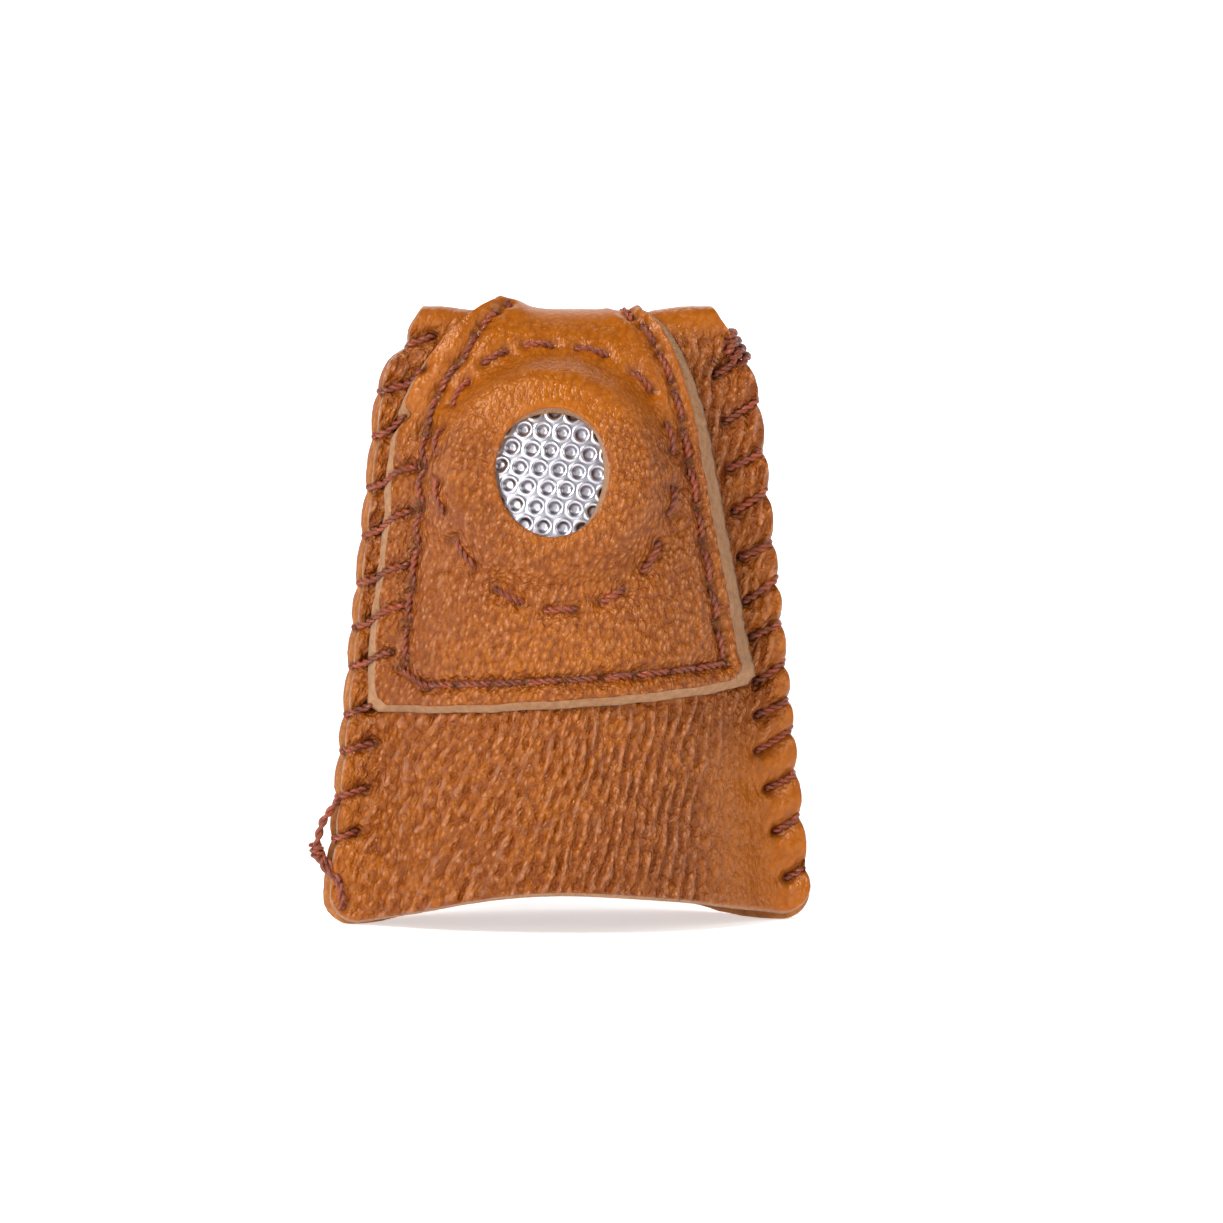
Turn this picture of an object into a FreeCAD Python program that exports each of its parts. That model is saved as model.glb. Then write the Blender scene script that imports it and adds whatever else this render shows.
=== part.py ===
"""Leather coin thimble: a folded leather pouch, a tip patch that holds a dimpled metal coin, and their threads.

The pouch stands on its mouth. +Z runs along the finger from the mouth to the tip, and the coin faces -Y.
The origin is the centre of the mouth, on the plane that the hem stands on. All sizes are in millimetres.
"""

import FreeCAD, Part
import math
import os

# Pouch: one piece of leather, folded at the tip and joined along both sides.
HEIGHT = 41.1
MOUTH_HALF_WIDTH = 16.6
TIP_HALF_WIDTH = 12.3
MOUTH_HALF_DEPTH = 9.0
LEATHER = 0.95
SEAM_FLANGE = 2.6  # width along each side where front and back lie face to face
ARCH_POWER = 2.2  # how full each panel's crown is across its width
OFFSET_SPREAD = 0.42  # how much wider the crowned part gets for each millimetre of offset outwards
CHAMFER_DROP = 4.6  # how far below the tip the cut-off top corners start
TIP_EDGE_HALF = 9.4  # half the straight top edge between those corners
CHAMFER_ROUND = 2.0
HEM_RISE = 2.9
HEM_FOOT_INNER, HEM_FOOT_OUTER = 11.6, 14.2  # the straight feet of the hem, each side of the middle
BELOW = 2.0  # how far the lofted layers run on under the hem before it is cut
SECTION_ANGLES = (0, 10, 20, 30, 40, 50, 60, 68, 75, 81, 85, 88)
FAR = 30.0  # reach of the cutting prisms
ARC_BULGE = 0.293  # how far a quarter circle's middle lies from its corner, as a share of the radius

# Patch: a second layer of leather over the tip, with the coin between it and the pouch.
PATCH = 0.9
PATCH_LEFT = ((-5.2, 41.0), (-8.5, 38.9), (-11.6, 34.0), (-12.5, 27.0), (-13.5, 18.0), (-13.5, 14.3))
PATCH_RIGHT = ((12.0, 15.9), (11.2, 22.0), (9.7, 30.0), (8.0, 36.6), (5.0, 41.0))
FLAP_HALF_WIDTH = 6.6  # the patch's end on the back
FLAP_END_HEIGHT = 22.0
FLAP_CORNER = 2.5

# Coin: a dimpled disc under an oval window in the patch.
COIN_X, COIN_Z = -1.8, 30.5
COIN_RADIUS = 6.6
COIN_THICKNESS = 0.8
COIN_CROWN = 0.4  # how much its face swells in the middle
COIN_GAP = 0.03
SEAT_DEPTH = 3.0  # how far the room for the coin runs on inwards, past the patch
WINDOW_HALF_WIDTH, WINDOW_HALF_HEIGHT = 3.8, 4.25
WINDOW_LOW, WINDOW_HIGH = -1.0, 6.0  # the window's cutter, from the coin's seat outwards
DOME_PROFILE = ((0.0, 2.0), (3.4, 2.0), (5.4, 1.85), (6.6, 1.45), (7.7, 0.2))  # radius, height
DOME_FOOT = 4.0  # how far the dome runs on inwards, before it's fitted to the pouch
PIT_PITCH = 1.28
PIT_ROW = 1.3  # between one row and the next
PIT_RADIUS = 0.5
PIT_DEPTH = 0.2
PIT_FIELD = 5.8  # the pits fill the face out to this radius
PIT_TILT = -6.5

# Threads.
THREAD = 0.7
SINK = 0.25  # how far a tight thread beds into the leather
CHANNEL = 0.8  # bore of the holes and grooves that the thread lies in
BEND = 0.42  # radius of a stitch's corners, at the thread's centre line
RING_STITCHES = 14
RING_X, RING_Z = -1.6, 30.3
RING_HALF_WIDTH, RING_HALF_HEIGHT = 8.1, 8.9
RING_LENGTH = 1.9
EDGE_MARGIN = 1.7  # from the patch's edge to its stitch line
EDGE_PITCH = 2.6
EDGE_LENGTH = 1.95
TIP_SHARE = 0.997  # the side lines cross to the back this far up the pouch
LINE_STEPS = 40
WHIP_DEPTH = 2.1  # from the seam's edge to its row of holes
WHIP_LEFT = {"count": 12, "low": 5.6, "high": 38.2, "slant": 18.0}
WHIP_RIGHT = {"count": 13, "low": 3.4, "high": 36.4, "slant": 27.0}
KNOT = 0.75  # radius of a knot's turns
KNOT_CORE = 0.5  # radius of the thread packed inside its turns
KNOT_TURNS = (30, 120)  # how its turns lean
LOOP_HEIGHTS = (8.3, 3.4)  # where the left seam's slack loop leaves and rejoins the edge
LOOP_GAP = 0.85  # from the edge to the loop's two ends
LOOP_REACH = 1.0  # from the edge to the middle of its bow
LOOP_BEND = 1.2
LOOP_KNOT = (0.1, -0.2, 0.05)  # the loop's knot, from the middle of its bow
END_KNOT_HEIGHT = 38.3
END_KNOT_GAP = 0.05  # between the knot and the leather
END_TAIL = ((0.3, -0.1, 0.9), (-0.3, -0.1, 1.7))  # the cut tail's bend and end, from the knot
END_TAIL_BEND = 0.8


def vec(x, y, z):
    return FreeCAD.Vector(x, y, z)


# ---- the shape of the layers, as functions of place


def half_width(z):
    """Half the pouch's width, from the middle to its slanting side."""
    return MOUTH_HALF_WIDTH + (TIP_HALF_WIDTH - MOUTH_HALF_WIDTH) * z / HEIGHT


def seam_x(z):
    """The seam's edge, along the side and then along the cut-off top corner."""
    foot = HEIGHT - CHAMFER_DROP
    if z < foot:
        return half_width(z)
    return half_width(foot) + (TIP_EDGE_HALF - half_width(foot)) * (z - foot) / CHAMFER_DROP


def half_depth(z, offset=0.0):
    """Depth at the crown's middle, on the layer that lies this far outside the pouch's outer face."""
    share = min(1.0, max(0.0, z / (HEIGHT + offset)))
    return (MOUTH_HALF_DEPTH + offset) * math.sqrt(1.0 - share * share)


def arch_half_width(z, offset=0.0):
    """Half the width of the crowned part, between the two seam flanges."""
    return half_width(z) - SEAM_FLANGE + OFFSET_SPREAD * offset


def depth_at(x, z, offset=0.0):
    """Distance of a layer from the middle plane."""
    crown = half_depth(z, offset)
    edge = min(LEATHER + offset, crown)
    across = min(1.0, abs(x) / arch_half_width(z, offset))
    return edge + (crown - edge) * (1.0 - across**ARCH_POWER)


def place(x, angle, offset=0.0):
    """A point of a layer: angle 0 is the front mouth, 90 the tip and 180 the back mouth."""
    z = (HEIGHT + offset) * math.sin(math.radians(angle))
    side = -1.0 if angle <= 90 else 1.0
    return vec(x, side * depth_at(x, z, offset), z)


def height_angle(z):
    return math.degrees(math.asin(min(1.0, z / HEIGHT)))


def normal_at(x, angle):
    """Outward normal of the pouch's outer face."""
    step = 0.05
    across = place(x + step, angle) - place(x - step, angle)
    along = place(x, min(90, angle + step)) - place(x, angle - step)
    if angle > 90:
        along = place(x, angle + step) - place(x, max(90.001, angle - step))
    return across.cross(along).normalize()


# ---- building blocks


def section(z, offset):
    """One closed cross-section of a layer: an arch each side and, unless it comes to a point, flat flanges."""
    wide = half_width(z)
    arch = arch_half_width(z, offset)
    edge = min(LEATHER + offset, half_depth(z, offset))
    edges = []
    for side in (-1, 1):
        steps = [side * i / 5 for i in range(-5, 6)]
        points = [vec(arch * s, side * depth_at(arch * s, z, offset), z) for s in steps]
        curve = Part.BSplineCurve()
        curve.interpolate(points)
        if edge > 0:
            first = vec(-side * wide, side * edge, z)
            last = vec(side * wide, side * edge, z)
            edges += [Part.makeLine(first, points[0]), curve.toShape(), Part.makeLine(points[-1], last)]
            edges.append(Part.makeLine(last, vec(side * wide, -side * edge, z)))
        else:
            edges.append(curve.toShape())
    return Part.Wire(Part.__sortEdges__(edges))


def layer(offset):
    """Everything inside one layer, from below the hem to the tip, as a closed solid."""
    sections = [section(0.0, offset)]
    sections[0].translate(vec(0, 0, -BELOW))
    for angle in SECTION_ANGLES:
        sections.append(section((HEIGHT + offset) * math.sin(math.radians(angle)), offset))
    return Part.makeLoft(sections, True, False)


def prism(edges, low_y, high_y):
    """A solid that runs along Y with this outline, which is drawn in the XZ plane."""
    face = Part.Face(Part.Wire(Part.__sortEdges__(edges)))
    solid = face.extrude(vec(0, high_y - low_y, 0))
    solid.translate(vec(0, low_y, 0))
    return solid


def curve_through(points):
    curve = Part.BSplineCurve()
    curve.interpolate([vec(x, 0, z) for x, z in points])
    return curve


def tube(points, bend, thick=THREAD, closed=False):
    """A round rod, such as thread, along straight runs joined by tangent arcs."""
    count = len(points)
    corners = range(count) if closed else range(1, count - 1)
    arcs = {}
    for i in corners:
        here, before, after = points[i], points[i - 1], points[(i + 1) % count]
        back = (before - here).normalize()
        ahead = (after - here).normalize()
        half = math.acos(max(-1.0, min(1.0, back.dot(ahead)))) / 2
        inward = (back + ahead).normalize()
        reach = bend / math.tan(half)
        middle = here + inward * (bend / math.sin(half) - bend)
        arcs[i] = (here + back * reach, middle, here + ahead * reach)
    edges = []
    start = arcs[count - 1][2] if closed else points[0]
    for i in corners:
        edges.append(Part.makeLine(start, arcs[i][0]))
        edges.append(Part.Arc(*arcs[i]).toShape())
        start = arcs[i][2]
    if not closed:
        edges.append(Part.makeLine(start, points[-1]))
    first = edges[0].Vertexes[0].Point
    circle = Part.makeCircle(thick / 2, first, edges[0].Vertexes[1].Point - first)
    return Part.Wire(edges).makePipeShell([Part.Wire([circle])], True, False)


def staple(middle, along, normal, length, bottom, thick):
    """One visible stitch: a run along the patch with a leg down through the leather at each end."""
    half = length / 2
    top = PATCH + THREAD / 2 - SINK
    corners = ((-half, -bottom), (-half, top), (half, top), (half, -bottom))
    return tube([middle + along * a + normal * b for a, b in corners], BEND, thick)


# ---- outlines


def pouch_outline():
    """Front view of the pouch: slanting sides, cut-off top corners, rounded mouth corners, hollow hem."""
    foot_z = HEIGHT - CHAMFER_DROP
    side_x = half_width(foot_z)
    over = HEIGHT + BELOW
    over_x = TIP_EDGE_HALF - (side_x - TIP_EDGE_HALF) * BELOW / CHAMFER_DROP
    edges = [Part.makeLine(vec(-over_x, 0, over), vec(over_x, 0, over))]
    for side in (-1, 1):
        corner = vec(side * side_x, 0, foot_z)
        up = (vec(side * over_x, 0, over) - corner).normalize()
        down = (vec(side * half_width(0), 0, 0) - corner).normalize()
        round_up, round_down = corner + up * CHAMFER_ROUND, corner + down * CHAMFER_ROUND
        round_middle = corner + (up + down) * (CHAMFER_ROUND / 4)
        mouth_round = MOUTH_HALF_WIDTH - HEM_FOOT_OUTER
        low = vec(side * half_width(mouth_round), 0, mouth_round)
        foot = vec(side * HEM_FOOT_OUTER, 0, 0)
        bulge = vec(side * (HEM_FOOT_OUTER + (1 - ARC_BULGE) * mouth_round), 0, ARC_BULGE * mouth_round)
        edges.append(Part.makeLine(vec(side * over_x, 0, over), round_up))
        edges.append(Part.Arc(round_up, round_middle, round_down).toShape())
        edges.append(Part.makeLine(round_down, low))
        edges.append(Part.Arc(low, bulge, foot).toShape())
        edges.append(Part.makeLine(foot, vec(side * HEM_FOOT_INNER, 0, 0)))
    left, right = vec(-HEM_FOOT_INNER, 0, 0), vec(HEM_FOOT_INNER, 0, 0)
    edges.append(Part.Arc(left, vec(0, 0, HEM_RISE), right).toShape())
    return edges


def patch_outline():
    """Front view of the patch: narrow at the tip and flaring to a wide, skewed lower edge."""
    left, right = curve_through(PATCH_LEFT), curve_through(PATCH_RIGHT)
    over = HEIGHT + PATCH + BELOW
    top_left, top_right = vec(PATCH_LEFT[0][0], 0, over), vec(PATCH_RIGHT[-1][0], 0, over)
    return [
        Part.makeLine(top_left, left.StartPoint),
        left.toShape(),
        Part.makeLine(left.EndPoint, right.StartPoint),
        right.toShape(),
        Part.makeLine(right.EndPoint, top_right),
        Part.makeLine(top_right, top_left),
    ]


def flap_outline():
    """Back view of the patch's end: a tongue with rounded corners."""
    over = HEIGHT + PATCH + BELOW
    wide, low, corner = FLAP_HALF_WIDTH, FLAP_END_HEIGHT, FLAP_CORNER
    edges = []
    for side, tip_x in ((-1, PATCH_LEFT[0][0]), (1, PATCH_RIGHT[-1][0])):
        tip = vec(tip_x, 0, PATCH_LEFT[0][1])
        shoulder = vec(side * wide, 0, low + corner)
        bulge = vec(side * (wide - ARC_BULGE * corner), 0, low + ARC_BULGE * corner)
        edges.append(Part.makeLine(vec(tip_x, 0, over), tip))
        edges.append(Part.makeLine(tip, shoulder))
        edges.append(Part.Arc(shoulder, bulge, vec(side * (wide - corner), 0, low)).toShape())
    edges.append(Part.makeLine(vec(corner - wide, 0, low), vec(wide - corner, 0, low)))
    edges.append(Part.makeLine(vec(PATCH_LEFT[0][0], 0, over), vec(PATCH_RIGHT[-1][0], 0, over)))
    return edges


# ---- coin, its seat and its window


def coin_axes():
    """The coin's centre on the pouch's face, and its directions across, up and outwards."""
    angle = height_angle(COIN_Z)
    outward = normal_at(COIN_X, angle)
    across = (vec(1, 0, 0) - outward * outward.x).normalize()
    up = outward.cross(across)
    centre = place(COIN_X, angle)
    highest = 0.0
    for step in range(72):
        turn = math.radians(5 * step)
        rim = centre + across * (COIN_RADIUS * math.cos(turn)) + up * (COIN_RADIUS * math.sin(turn))
        for share in (0.25, 0.5, 0.75, 1.0):
            point = centre + (rim - centre) * share
            below = vec(point.x, -depth_at(point.x, point.z), point.z)
            highest = max(highest, (below - centre).dot(outward))
    return centre + outward * (highest + COIN_GAP), across, up, outward


def turned(points, centre, across, outward):
    """A solid of revolution about the coin's axis, from (radius, height) points, the first two on the axis."""
    at = [centre + across * r + outward * h for r, h in points]
    crown = Part.Arc(at[1], at[2], at[3]).toShape()
    lines = [Part.makeLine(a, b) for a, b in zip(at[3:] + at[:1], at[4:] + at[:2])]
    face = Part.Face(Part.Wire(Part.__sortEdges__([crown] + lines)))
    return face.revolve(centre, outward, 360)


def coin_solid(axes, grow=0.0, depth=0.0):
    """The disc with its swelling face, or the room for it when it's grown by a gap and run on downwards."""
    centre, across, _, outward = axes
    radius, face = COIN_RADIUS + grow, COIN_THICKNESS + grow
    half = math.sqrt(0.5) * radius
    points = [(0, -depth), (0, face + COIN_CROWN), (half, face + COIN_CROWN / 2), (radius, face), (radius, -depth)]
    return turned(points, centre, across, outward)


def pits(axes):
    """Round-bottomed pits in rows, each row half a pitch across from the next."""
    centre, across, up, outward = axes
    sphere = (PIT_RADIUS**2 + PIT_DEPTH**2) / (2 * PIT_DEPTH)
    tilt = math.radians(PIT_TILT)
    rows = int(PIT_FIELD / min(PIT_PITCH, PIT_ROW)) + 1
    found = []
    for row in range(-rows, rows + 1):
        for column in range(-rows - 1, rows + 2):
            a = PIT_PITCH * (column + 0.5 * (row % 2))
            b = PIT_ROW * row
            radius = math.hypot(a, b)
            if radius > PIT_FIELD:
                continue
            face = COIN_THICKNESS + COIN_CROWN * (1 - (radius / COIN_RADIUS) ** 2)
            x = a * math.cos(tilt) - b * math.sin(tilt)
            z = a * math.sin(tilt) + b * math.cos(tilt)
            at = centre + across * x + up * z + outward * (face + sphere - PIT_DEPTH)
            found.append(Part.makeSphere(sphere, at))
    return found


def dome(axes):
    """The leather that swells over the coin, before it's fitted to the pouch and the coin."""
    centre, across, _, outward = axes
    at = [centre + across * r + outward * h for r, h in DOME_PROFILE]
    curve = Part.BSplineCurve()
    curve.interpolate(at[1:])
    foot = at[-1] - outward * DOME_FOOT
    axis_foot = centre + outward * (foot - centre).dot(outward)
    edges = [
        Part.makeLine(axis_foot, at[0]),
        Part.makeLine(at[0], at[1]),
        curve.toShape(),
        Part.makeLine(at[-1], foot),
        Part.makeLine(foot, axis_foot),
    ]
    return Part.Face(Part.Wire(edges)).revolve(centre, outward, 360)


def window(axes):
    """The oval rod that cuts the patch's window."""
    centre, across, up, outward = axes
    ellipse = Part.Ellipse(centre + up * WINDOW_HALF_HEIGHT, centre + across * WINDOW_HALF_WIDTH, centre)
    face = Part.Face(Part.Wire([ellipse.toShape()]))
    face.translate(outward * WINDOW_LOW)
    return face.extrude(outward * (WINDOW_HIGH - WINDOW_LOW))


# ---- stitch lines, as (x, angle) pairs on the pouch's face


def inset(curve, margin):
    """A line to the left of a curve's direction, in front view."""
    line = []
    for i in range(LINE_STEPS + 1):
        at = curve.FirstParameter + (curve.LastParameter - curve.FirstParameter) * i / LINE_STEPS
        tangent = curve.tangent(at)[0]
        spot = curve.value(at) + vec(-tangent.z, 0, tangent.x) * margin
        line.append((spot.x, spot.z))
    return line


def spaced(line, pitch):
    """Middles and directions of stitches at an even pitch along a line, eased to fill it."""
    points = [place(x, angle) for x, angle in line]
    lengths = [(b - a).Length for a, b in zip(points, points[1:])]
    count = max(1, round(sum(lengths) / pitch))
    step = sum(lengths) / count
    found, walked, i = [], 0.0, 0
    for n in range(count):
        while walked + lengths[i] < (n + 0.5) * step:
            walked += lengths[i]
            i += 1
        share = ((n + 0.5) * step - walked) / lengths[i]
        x = line[i][0] + (line[i + 1][0] - line[i][0]) * share
        angle = line[i][1] + (line[i + 1][1] - line[i][1]) * share
        found.append((x, angle, points[i + 1] - points[i]))
    return found


def straight(start, end, back):
    """A straight line in front view, or in back view, from one (x, z) place to another."""
    line = []
    for i in range(LINE_STEPS + 1):
        x = start[0] + (end[0] - start[0]) * i / LINE_STEPS
        angle = height_angle(start[1] + (end[1] - start[1]) * i / LINE_STEPS)
        line.append((x, 180 - angle if back else angle))
    return line


def patch_stitches():
    """Middles and directions of the patch's stitches, on the front and on the back."""
    left = inset(curve_through(PATCH_LEFT), EDGE_MARGIN)
    right = inset(curve_through(PATCH_RIGHT), EDGE_MARGIN)
    low = PATCH_LEFT[-1][1] + EDGE_MARGIN
    left = [spot for spot in left if spot[1] > low]
    right = [spot for spot in right if spot[1] > low + PATCH_RIGHT[0][1] - PATCH_LEFT[-1][1]]
    flap_x = FLAP_HALF_WIDTH - EDGE_MARGIN
    flap_z = FLAP_END_HEIGHT + EDGE_MARGIN
    sides = []
    for side, top in ((-1, left[0]), (1, right[-1])):
        front = left[::-1] if side < 0 else right
        line = [(x, height_angle(z)) for x, z in front]
        back = straight((top[0], HEIGHT * TIP_SHARE), (side * flap_x, flap_z), True)
        sides += spaced(line + back, EDGE_PITCH)
    front_low = spaced(straight(left[-1], right[0], False), EDGE_PITCH)
    back_low = spaced(straight((-flap_x, flap_z), (flap_x, flap_z), True), EDGE_PITCH)
    front = [s for s in sides if s[1] < 90] + front_low
    back = [s for s in sides if s[1] >= 90] + back_low
    return front, back


def ring_stitches():
    found = []
    for i in range(RING_STITCHES):
        turn = 2 * math.pi * (i + 0.5) / RING_STITCHES
        x = RING_X + RING_HALF_WIDTH * math.cos(turn)
        z = RING_Z + RING_HALF_HEIGHT * math.sin(turn)
        direction = vec(-RING_HALF_WIDTH * math.sin(turn), 0, RING_HALF_HEIGHT * math.cos(turn))
        found.append((x, height_angle(z), direction))
    return found


def sew(stitches, length):
    """Staples through patch and pouch, and the channels that they lie in."""
    threads, channels = [], []
    for x, angle, direction in stitches:
        at, outward = place(x, angle), normal_at(x, angle)
        along = (direction - outward * direction.dot(outward)).normalize()
        threads.append(staple(at, along, outward, length, LEATHER, THREAD))
        channels.append(staple(at, along, outward, length, 2 * LEATHER, CHANNEL))
    return threads, channels


def covered(x, z):
    """Whether the patch lies over this place on the pouch's front."""
    if not PATCH_LEFT[-1][1] < z < PATCH_LEFT[0][1]:
        return False
    for (x_above, z_above), (x_below, z_below) in zip(PATCH_LEFT, PATCH_LEFT[1:]):
        if z_below <= z <= z_above:
            return x > x_above + (x_below - x_above) * (z_above - z) / (z_above - z_below)
    return False


def whip(side, seam):
    """Overcast loops round one side seam, and the channels that they lie in."""
    loops, channels = [], []
    slant = math.radians(seam["slant"])
    away = vec(side * math.cos(slant), 0, side * math.sin(slant))
    lift = THREAD / 2 - SINK
    for i in range(seam["count"]):
        z = seam["low"] + (seam["high"] - seam["low"]) * i / (seam["count"] - 1)
        hole = vec(side * (seam_x(z) - WHIP_DEPTH), 0, z)
        front = depth_at(hole.x, z, PATCH if covered(hole.x, z) else 0.0) + lift
        back = depth_at(hole.x, z) + lift
        reach = (WHIP_DEPTH + lift) / math.cos(slant)
        corners = [hole + vec(0, -front, 0), hole + vec(0, back, 0)]
        corners += [hole + away * reach + vec(0, back, 0), hole + away * reach + vec(0, -front, 0)]
        loops.append(tube(corners, BEND, THREAD, closed=True))
        channels.append(tube(corners, BEND, CHANNEL, closed=True))
    return loops, channels


# ---- knots


def knot(at):
    """Two crossing turns of thread pulled into one lump."""
    turns = []
    for tilt in KNOT_TURNS:
        axis = FreeCAD.Rotation(vec(0, 1, 0), tilt).multVec(vec(1, 0.5, 0))
        turns.append(Part.makeTorus(KNOT - THREAD / 2, THREAD / 2, at, axis))
    return Part.makeSphere(KNOT_CORE, at).multiFuse(turns)


def slack_loop():
    """The left seam's slack: out of the edge, round in a bow and back in lower down, with a knot on it."""
    start_z, end_z = LOOP_HEIGHTS
    start = vec(-seam_x(start_z) - LOOP_GAP, 0, start_z)
    end = vec(-seam_x(end_z) - LOOP_GAP, 0, end_z)
    bow = vec(-seam_x(end_z) - LOOP_REACH, 0, (start_z + end_z) / 2)
    return tube([start, bow, end], LOOP_BEND).fuse(knot(bow + vec(*LOOP_KNOT)))


def end_knot():
    """The knot that the right seam's thread ends in, with its cut tail up the corner."""
    at = vec(seam_x(END_KNOT_HEIGHT), -LEATHER - KNOT - END_KNOT_GAP, END_KNOT_HEIGHT)
    return knot(at).fuse(tube([at] + [at + vec(*step) for step in END_TAIL], END_TAIL_BEND))


# ---- the pieces


def largest(shape):
    """The piece without the crumbs that the thread's channels cut off at a margin."""
    return max(shape.Solids, key=lambda solid: solid.Volume)


def main():
    os.makedirs("parts", exist_ok=True)
    outer = layer(0.0)
    axes = coin_axes()

    ring, ring_channels = sew(ring_stitches(), RING_LENGTH)
    front_places, back_places = patch_stitches()
    front_threads, front_channels = sew(front_places, EDGE_LENGTH)
    back_threads, back_channels = sew(back_places, EDGE_LENGTH)
    left_whip, left_channels = whip(-1, WHIP_LEFT)
    right_whip, right_channels = whip(1, WHIP_RIGHT)
    channels = ring_channels + front_channels + back_channels + left_channels + right_channels

    pouch = outer.cut(layer(-LEATHER)).common(prism(pouch_outline(), -FAR, FAR))
    area = prism(patch_outline(), -FAR, 0).fuse(prism(flap_outline(), 0, FAR))
    patch = layer(PATCH).common(area).fuse(dome(axes)).cut(outer)
    patch = patch.cut(coin_solid(axes, COIN_GAP, SEAT_DEPTH)).cut(window(axes))
    pieces = {
        "pouch": largest(pouch.cut(channels)),
        "tip_patch": largest(patch.cut(channels)),
        "coin": coin_solid(axes).cut(pits(axes)),
        "coin_ring_stitches": Part.makeCompound(ring),
        "patch_edge_stitches": Part.makeCompound(front_threads),
        "back_flap_stitches": Part.makeCompound(back_threads),
        "left_whip_stitches": Part.makeCompound(left_whip),
        "right_whip_stitches": Part.makeCompound(right_whip),
        "left_slack_loop": slack_loop(),
        "right_end_knot": end_knot(),
    }
    for name, shape in pieces.items():
        print(name, len(shape.Solids), shape.isValid(), round(shape.Volume, 2))
        shape.exportStep(f"parts/{name}.step")


if __name__ == "__main__":
    main()
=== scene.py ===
"""Looks of the leather coin thimble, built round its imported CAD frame.

Shapes are worked out in millimetres in the row frame: +Z from the mouth to the tip, the coin faces -Y.
A place on the leather is (x, s): x across, and s along the pouch's middle line, from the front hem over
the tip to the back hem.
"""

import math

import bmesh
import bpy
import numpy as np
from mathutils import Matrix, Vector
from mathutils.bvhtree import BVHTree


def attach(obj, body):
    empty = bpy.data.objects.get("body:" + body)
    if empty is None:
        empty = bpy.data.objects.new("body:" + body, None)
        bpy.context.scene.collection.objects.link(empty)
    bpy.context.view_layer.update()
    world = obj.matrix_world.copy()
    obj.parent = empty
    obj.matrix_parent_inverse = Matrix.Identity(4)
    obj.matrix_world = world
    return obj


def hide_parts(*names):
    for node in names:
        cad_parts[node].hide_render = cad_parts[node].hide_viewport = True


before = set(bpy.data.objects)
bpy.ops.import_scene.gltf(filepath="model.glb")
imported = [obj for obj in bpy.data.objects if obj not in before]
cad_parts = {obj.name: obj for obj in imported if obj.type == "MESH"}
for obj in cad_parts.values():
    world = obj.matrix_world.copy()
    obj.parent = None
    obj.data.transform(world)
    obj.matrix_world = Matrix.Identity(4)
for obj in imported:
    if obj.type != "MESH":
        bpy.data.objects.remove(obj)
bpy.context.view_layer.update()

MM = 0.001

# ---- driving sizes, in millimetres

HEIGHT = 41.1
MOUTH_HALF_WIDTH, TIP_HALF_WIDTH = 16.6, 12.3
MOUTH_HALF_DEPTH = 9.0
LEATHER = 0.95
SEAM_FLANGE = 2.6
SEAM_GAP = 0.001  # between the two panels where they are sewn together
ARCH_POWER = 2.2
OFFSET_SPREAD = 0.42
CHAMFER_DROP, TIP_EDGE_HALF = 4.6, 9.4
MOUTH_ROUND = 2.4
HEM_FOOT_OUTER = 14.2
FRONT_HEM = (
    (-14.4, 0.3), (-11.3, 1.15), (-7.6, 2.2), (-1.5, 2.95), (4.0, 2.6), (8.3, 1.95), (11.1, 1.3), (14.4, 0.6),
)
BACK_HEM = ((-14.4, 0.0), (-11.6, 0.1), (-6.0, 1.8), (0.0, 2.6), (6.0, 1.6), (11.0, 0.15), (14.4, 0.0))
HEM_BEVEL = 0.26  # how far the front hem's cut edge slants into sight
FRONT_EDGE_BACK = 0.38  # how far the front panel's left edge stays inside the back panel's
TIP_HOLLOW, TIP_SHOULDER = 0.62, 0.25  # how far the top edge sags in its middle and rises beside it

PATCH = 0.9
PATCH_LEFT = ((-5.2, 41.0), (-8.5, 38.9), (-11.6, 34.0), (-12.5, 27.0), (-13.5, 18.0), (-13.5, 14.3))
PATCH_RIGHT = ((12.65, 15.9), (11.5, 22.0), (9.9, 30.0), (8.2, 36.6), (5.2, 41.0))
PATCH_LOW, PATCH_LOW_X = (14.3, 15.9), (-13.5, 12.0)  # heights and places of its lower edge's ends
PATCH_SPAN = 22.0  # its mean width, by which its grid is spaced
FLAP_HALF_WIDTH, FLAP_END_HEIGHT, FLAP_CORNER = 6.6, 22.0, 2.5
BEVEL_LEFT, BEVEL_RIGHT, BEVEL_LOW = 0.42, 1.1, 0.26  # how wide its slanting cut edges show
NOTCH_HEIGHT, NOTCH_DEPTH, NOTCH_SIZE = 33.6, 0.45, 0.5
TURN = 1.5  # how far either side of the tip its edges turn from their front to their back line

COIN_X, COIN_Z = -1.8, 30.5
COIN_RADIUS, COIN_THICKNESS, COIN_CROWN, COIN_GAP = 6.6, 0.8, 0.4, 0.03
WINDOW, WINDOW_X, WINDOW_Z = (3.72, 4.22), -1.48, 29.75
UNDERCUT, LIP = 0.4, 0.9  # the window's flesh edge hides behind its grain edge, except at the lower right
WINDOW_CELLS, WINDOW_SPREAD = 14, 2.5  # half its block of grid cells, and how many times that bends with it
DOME_PROFILE = ((-3.4, 2.0), (0.0, 2.0), (3.4, 2.0), (5.4, 1.85), (6.6, 1.45), (7.7, 0.2), (8.8, -1.6))
DOME_REACH = 8.8
PIT_PITCH, PIT_ROW, PIT_RADIUS, PIT_DEPTH, PIT_TILT = 1.28, 1.27, 0.46, 0.15, -6.5
PIT_START, PIT_STRAY = (-0.53, 0.1), 0.03  # the middle pit's place on the coin, and how far a pit strays

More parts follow.
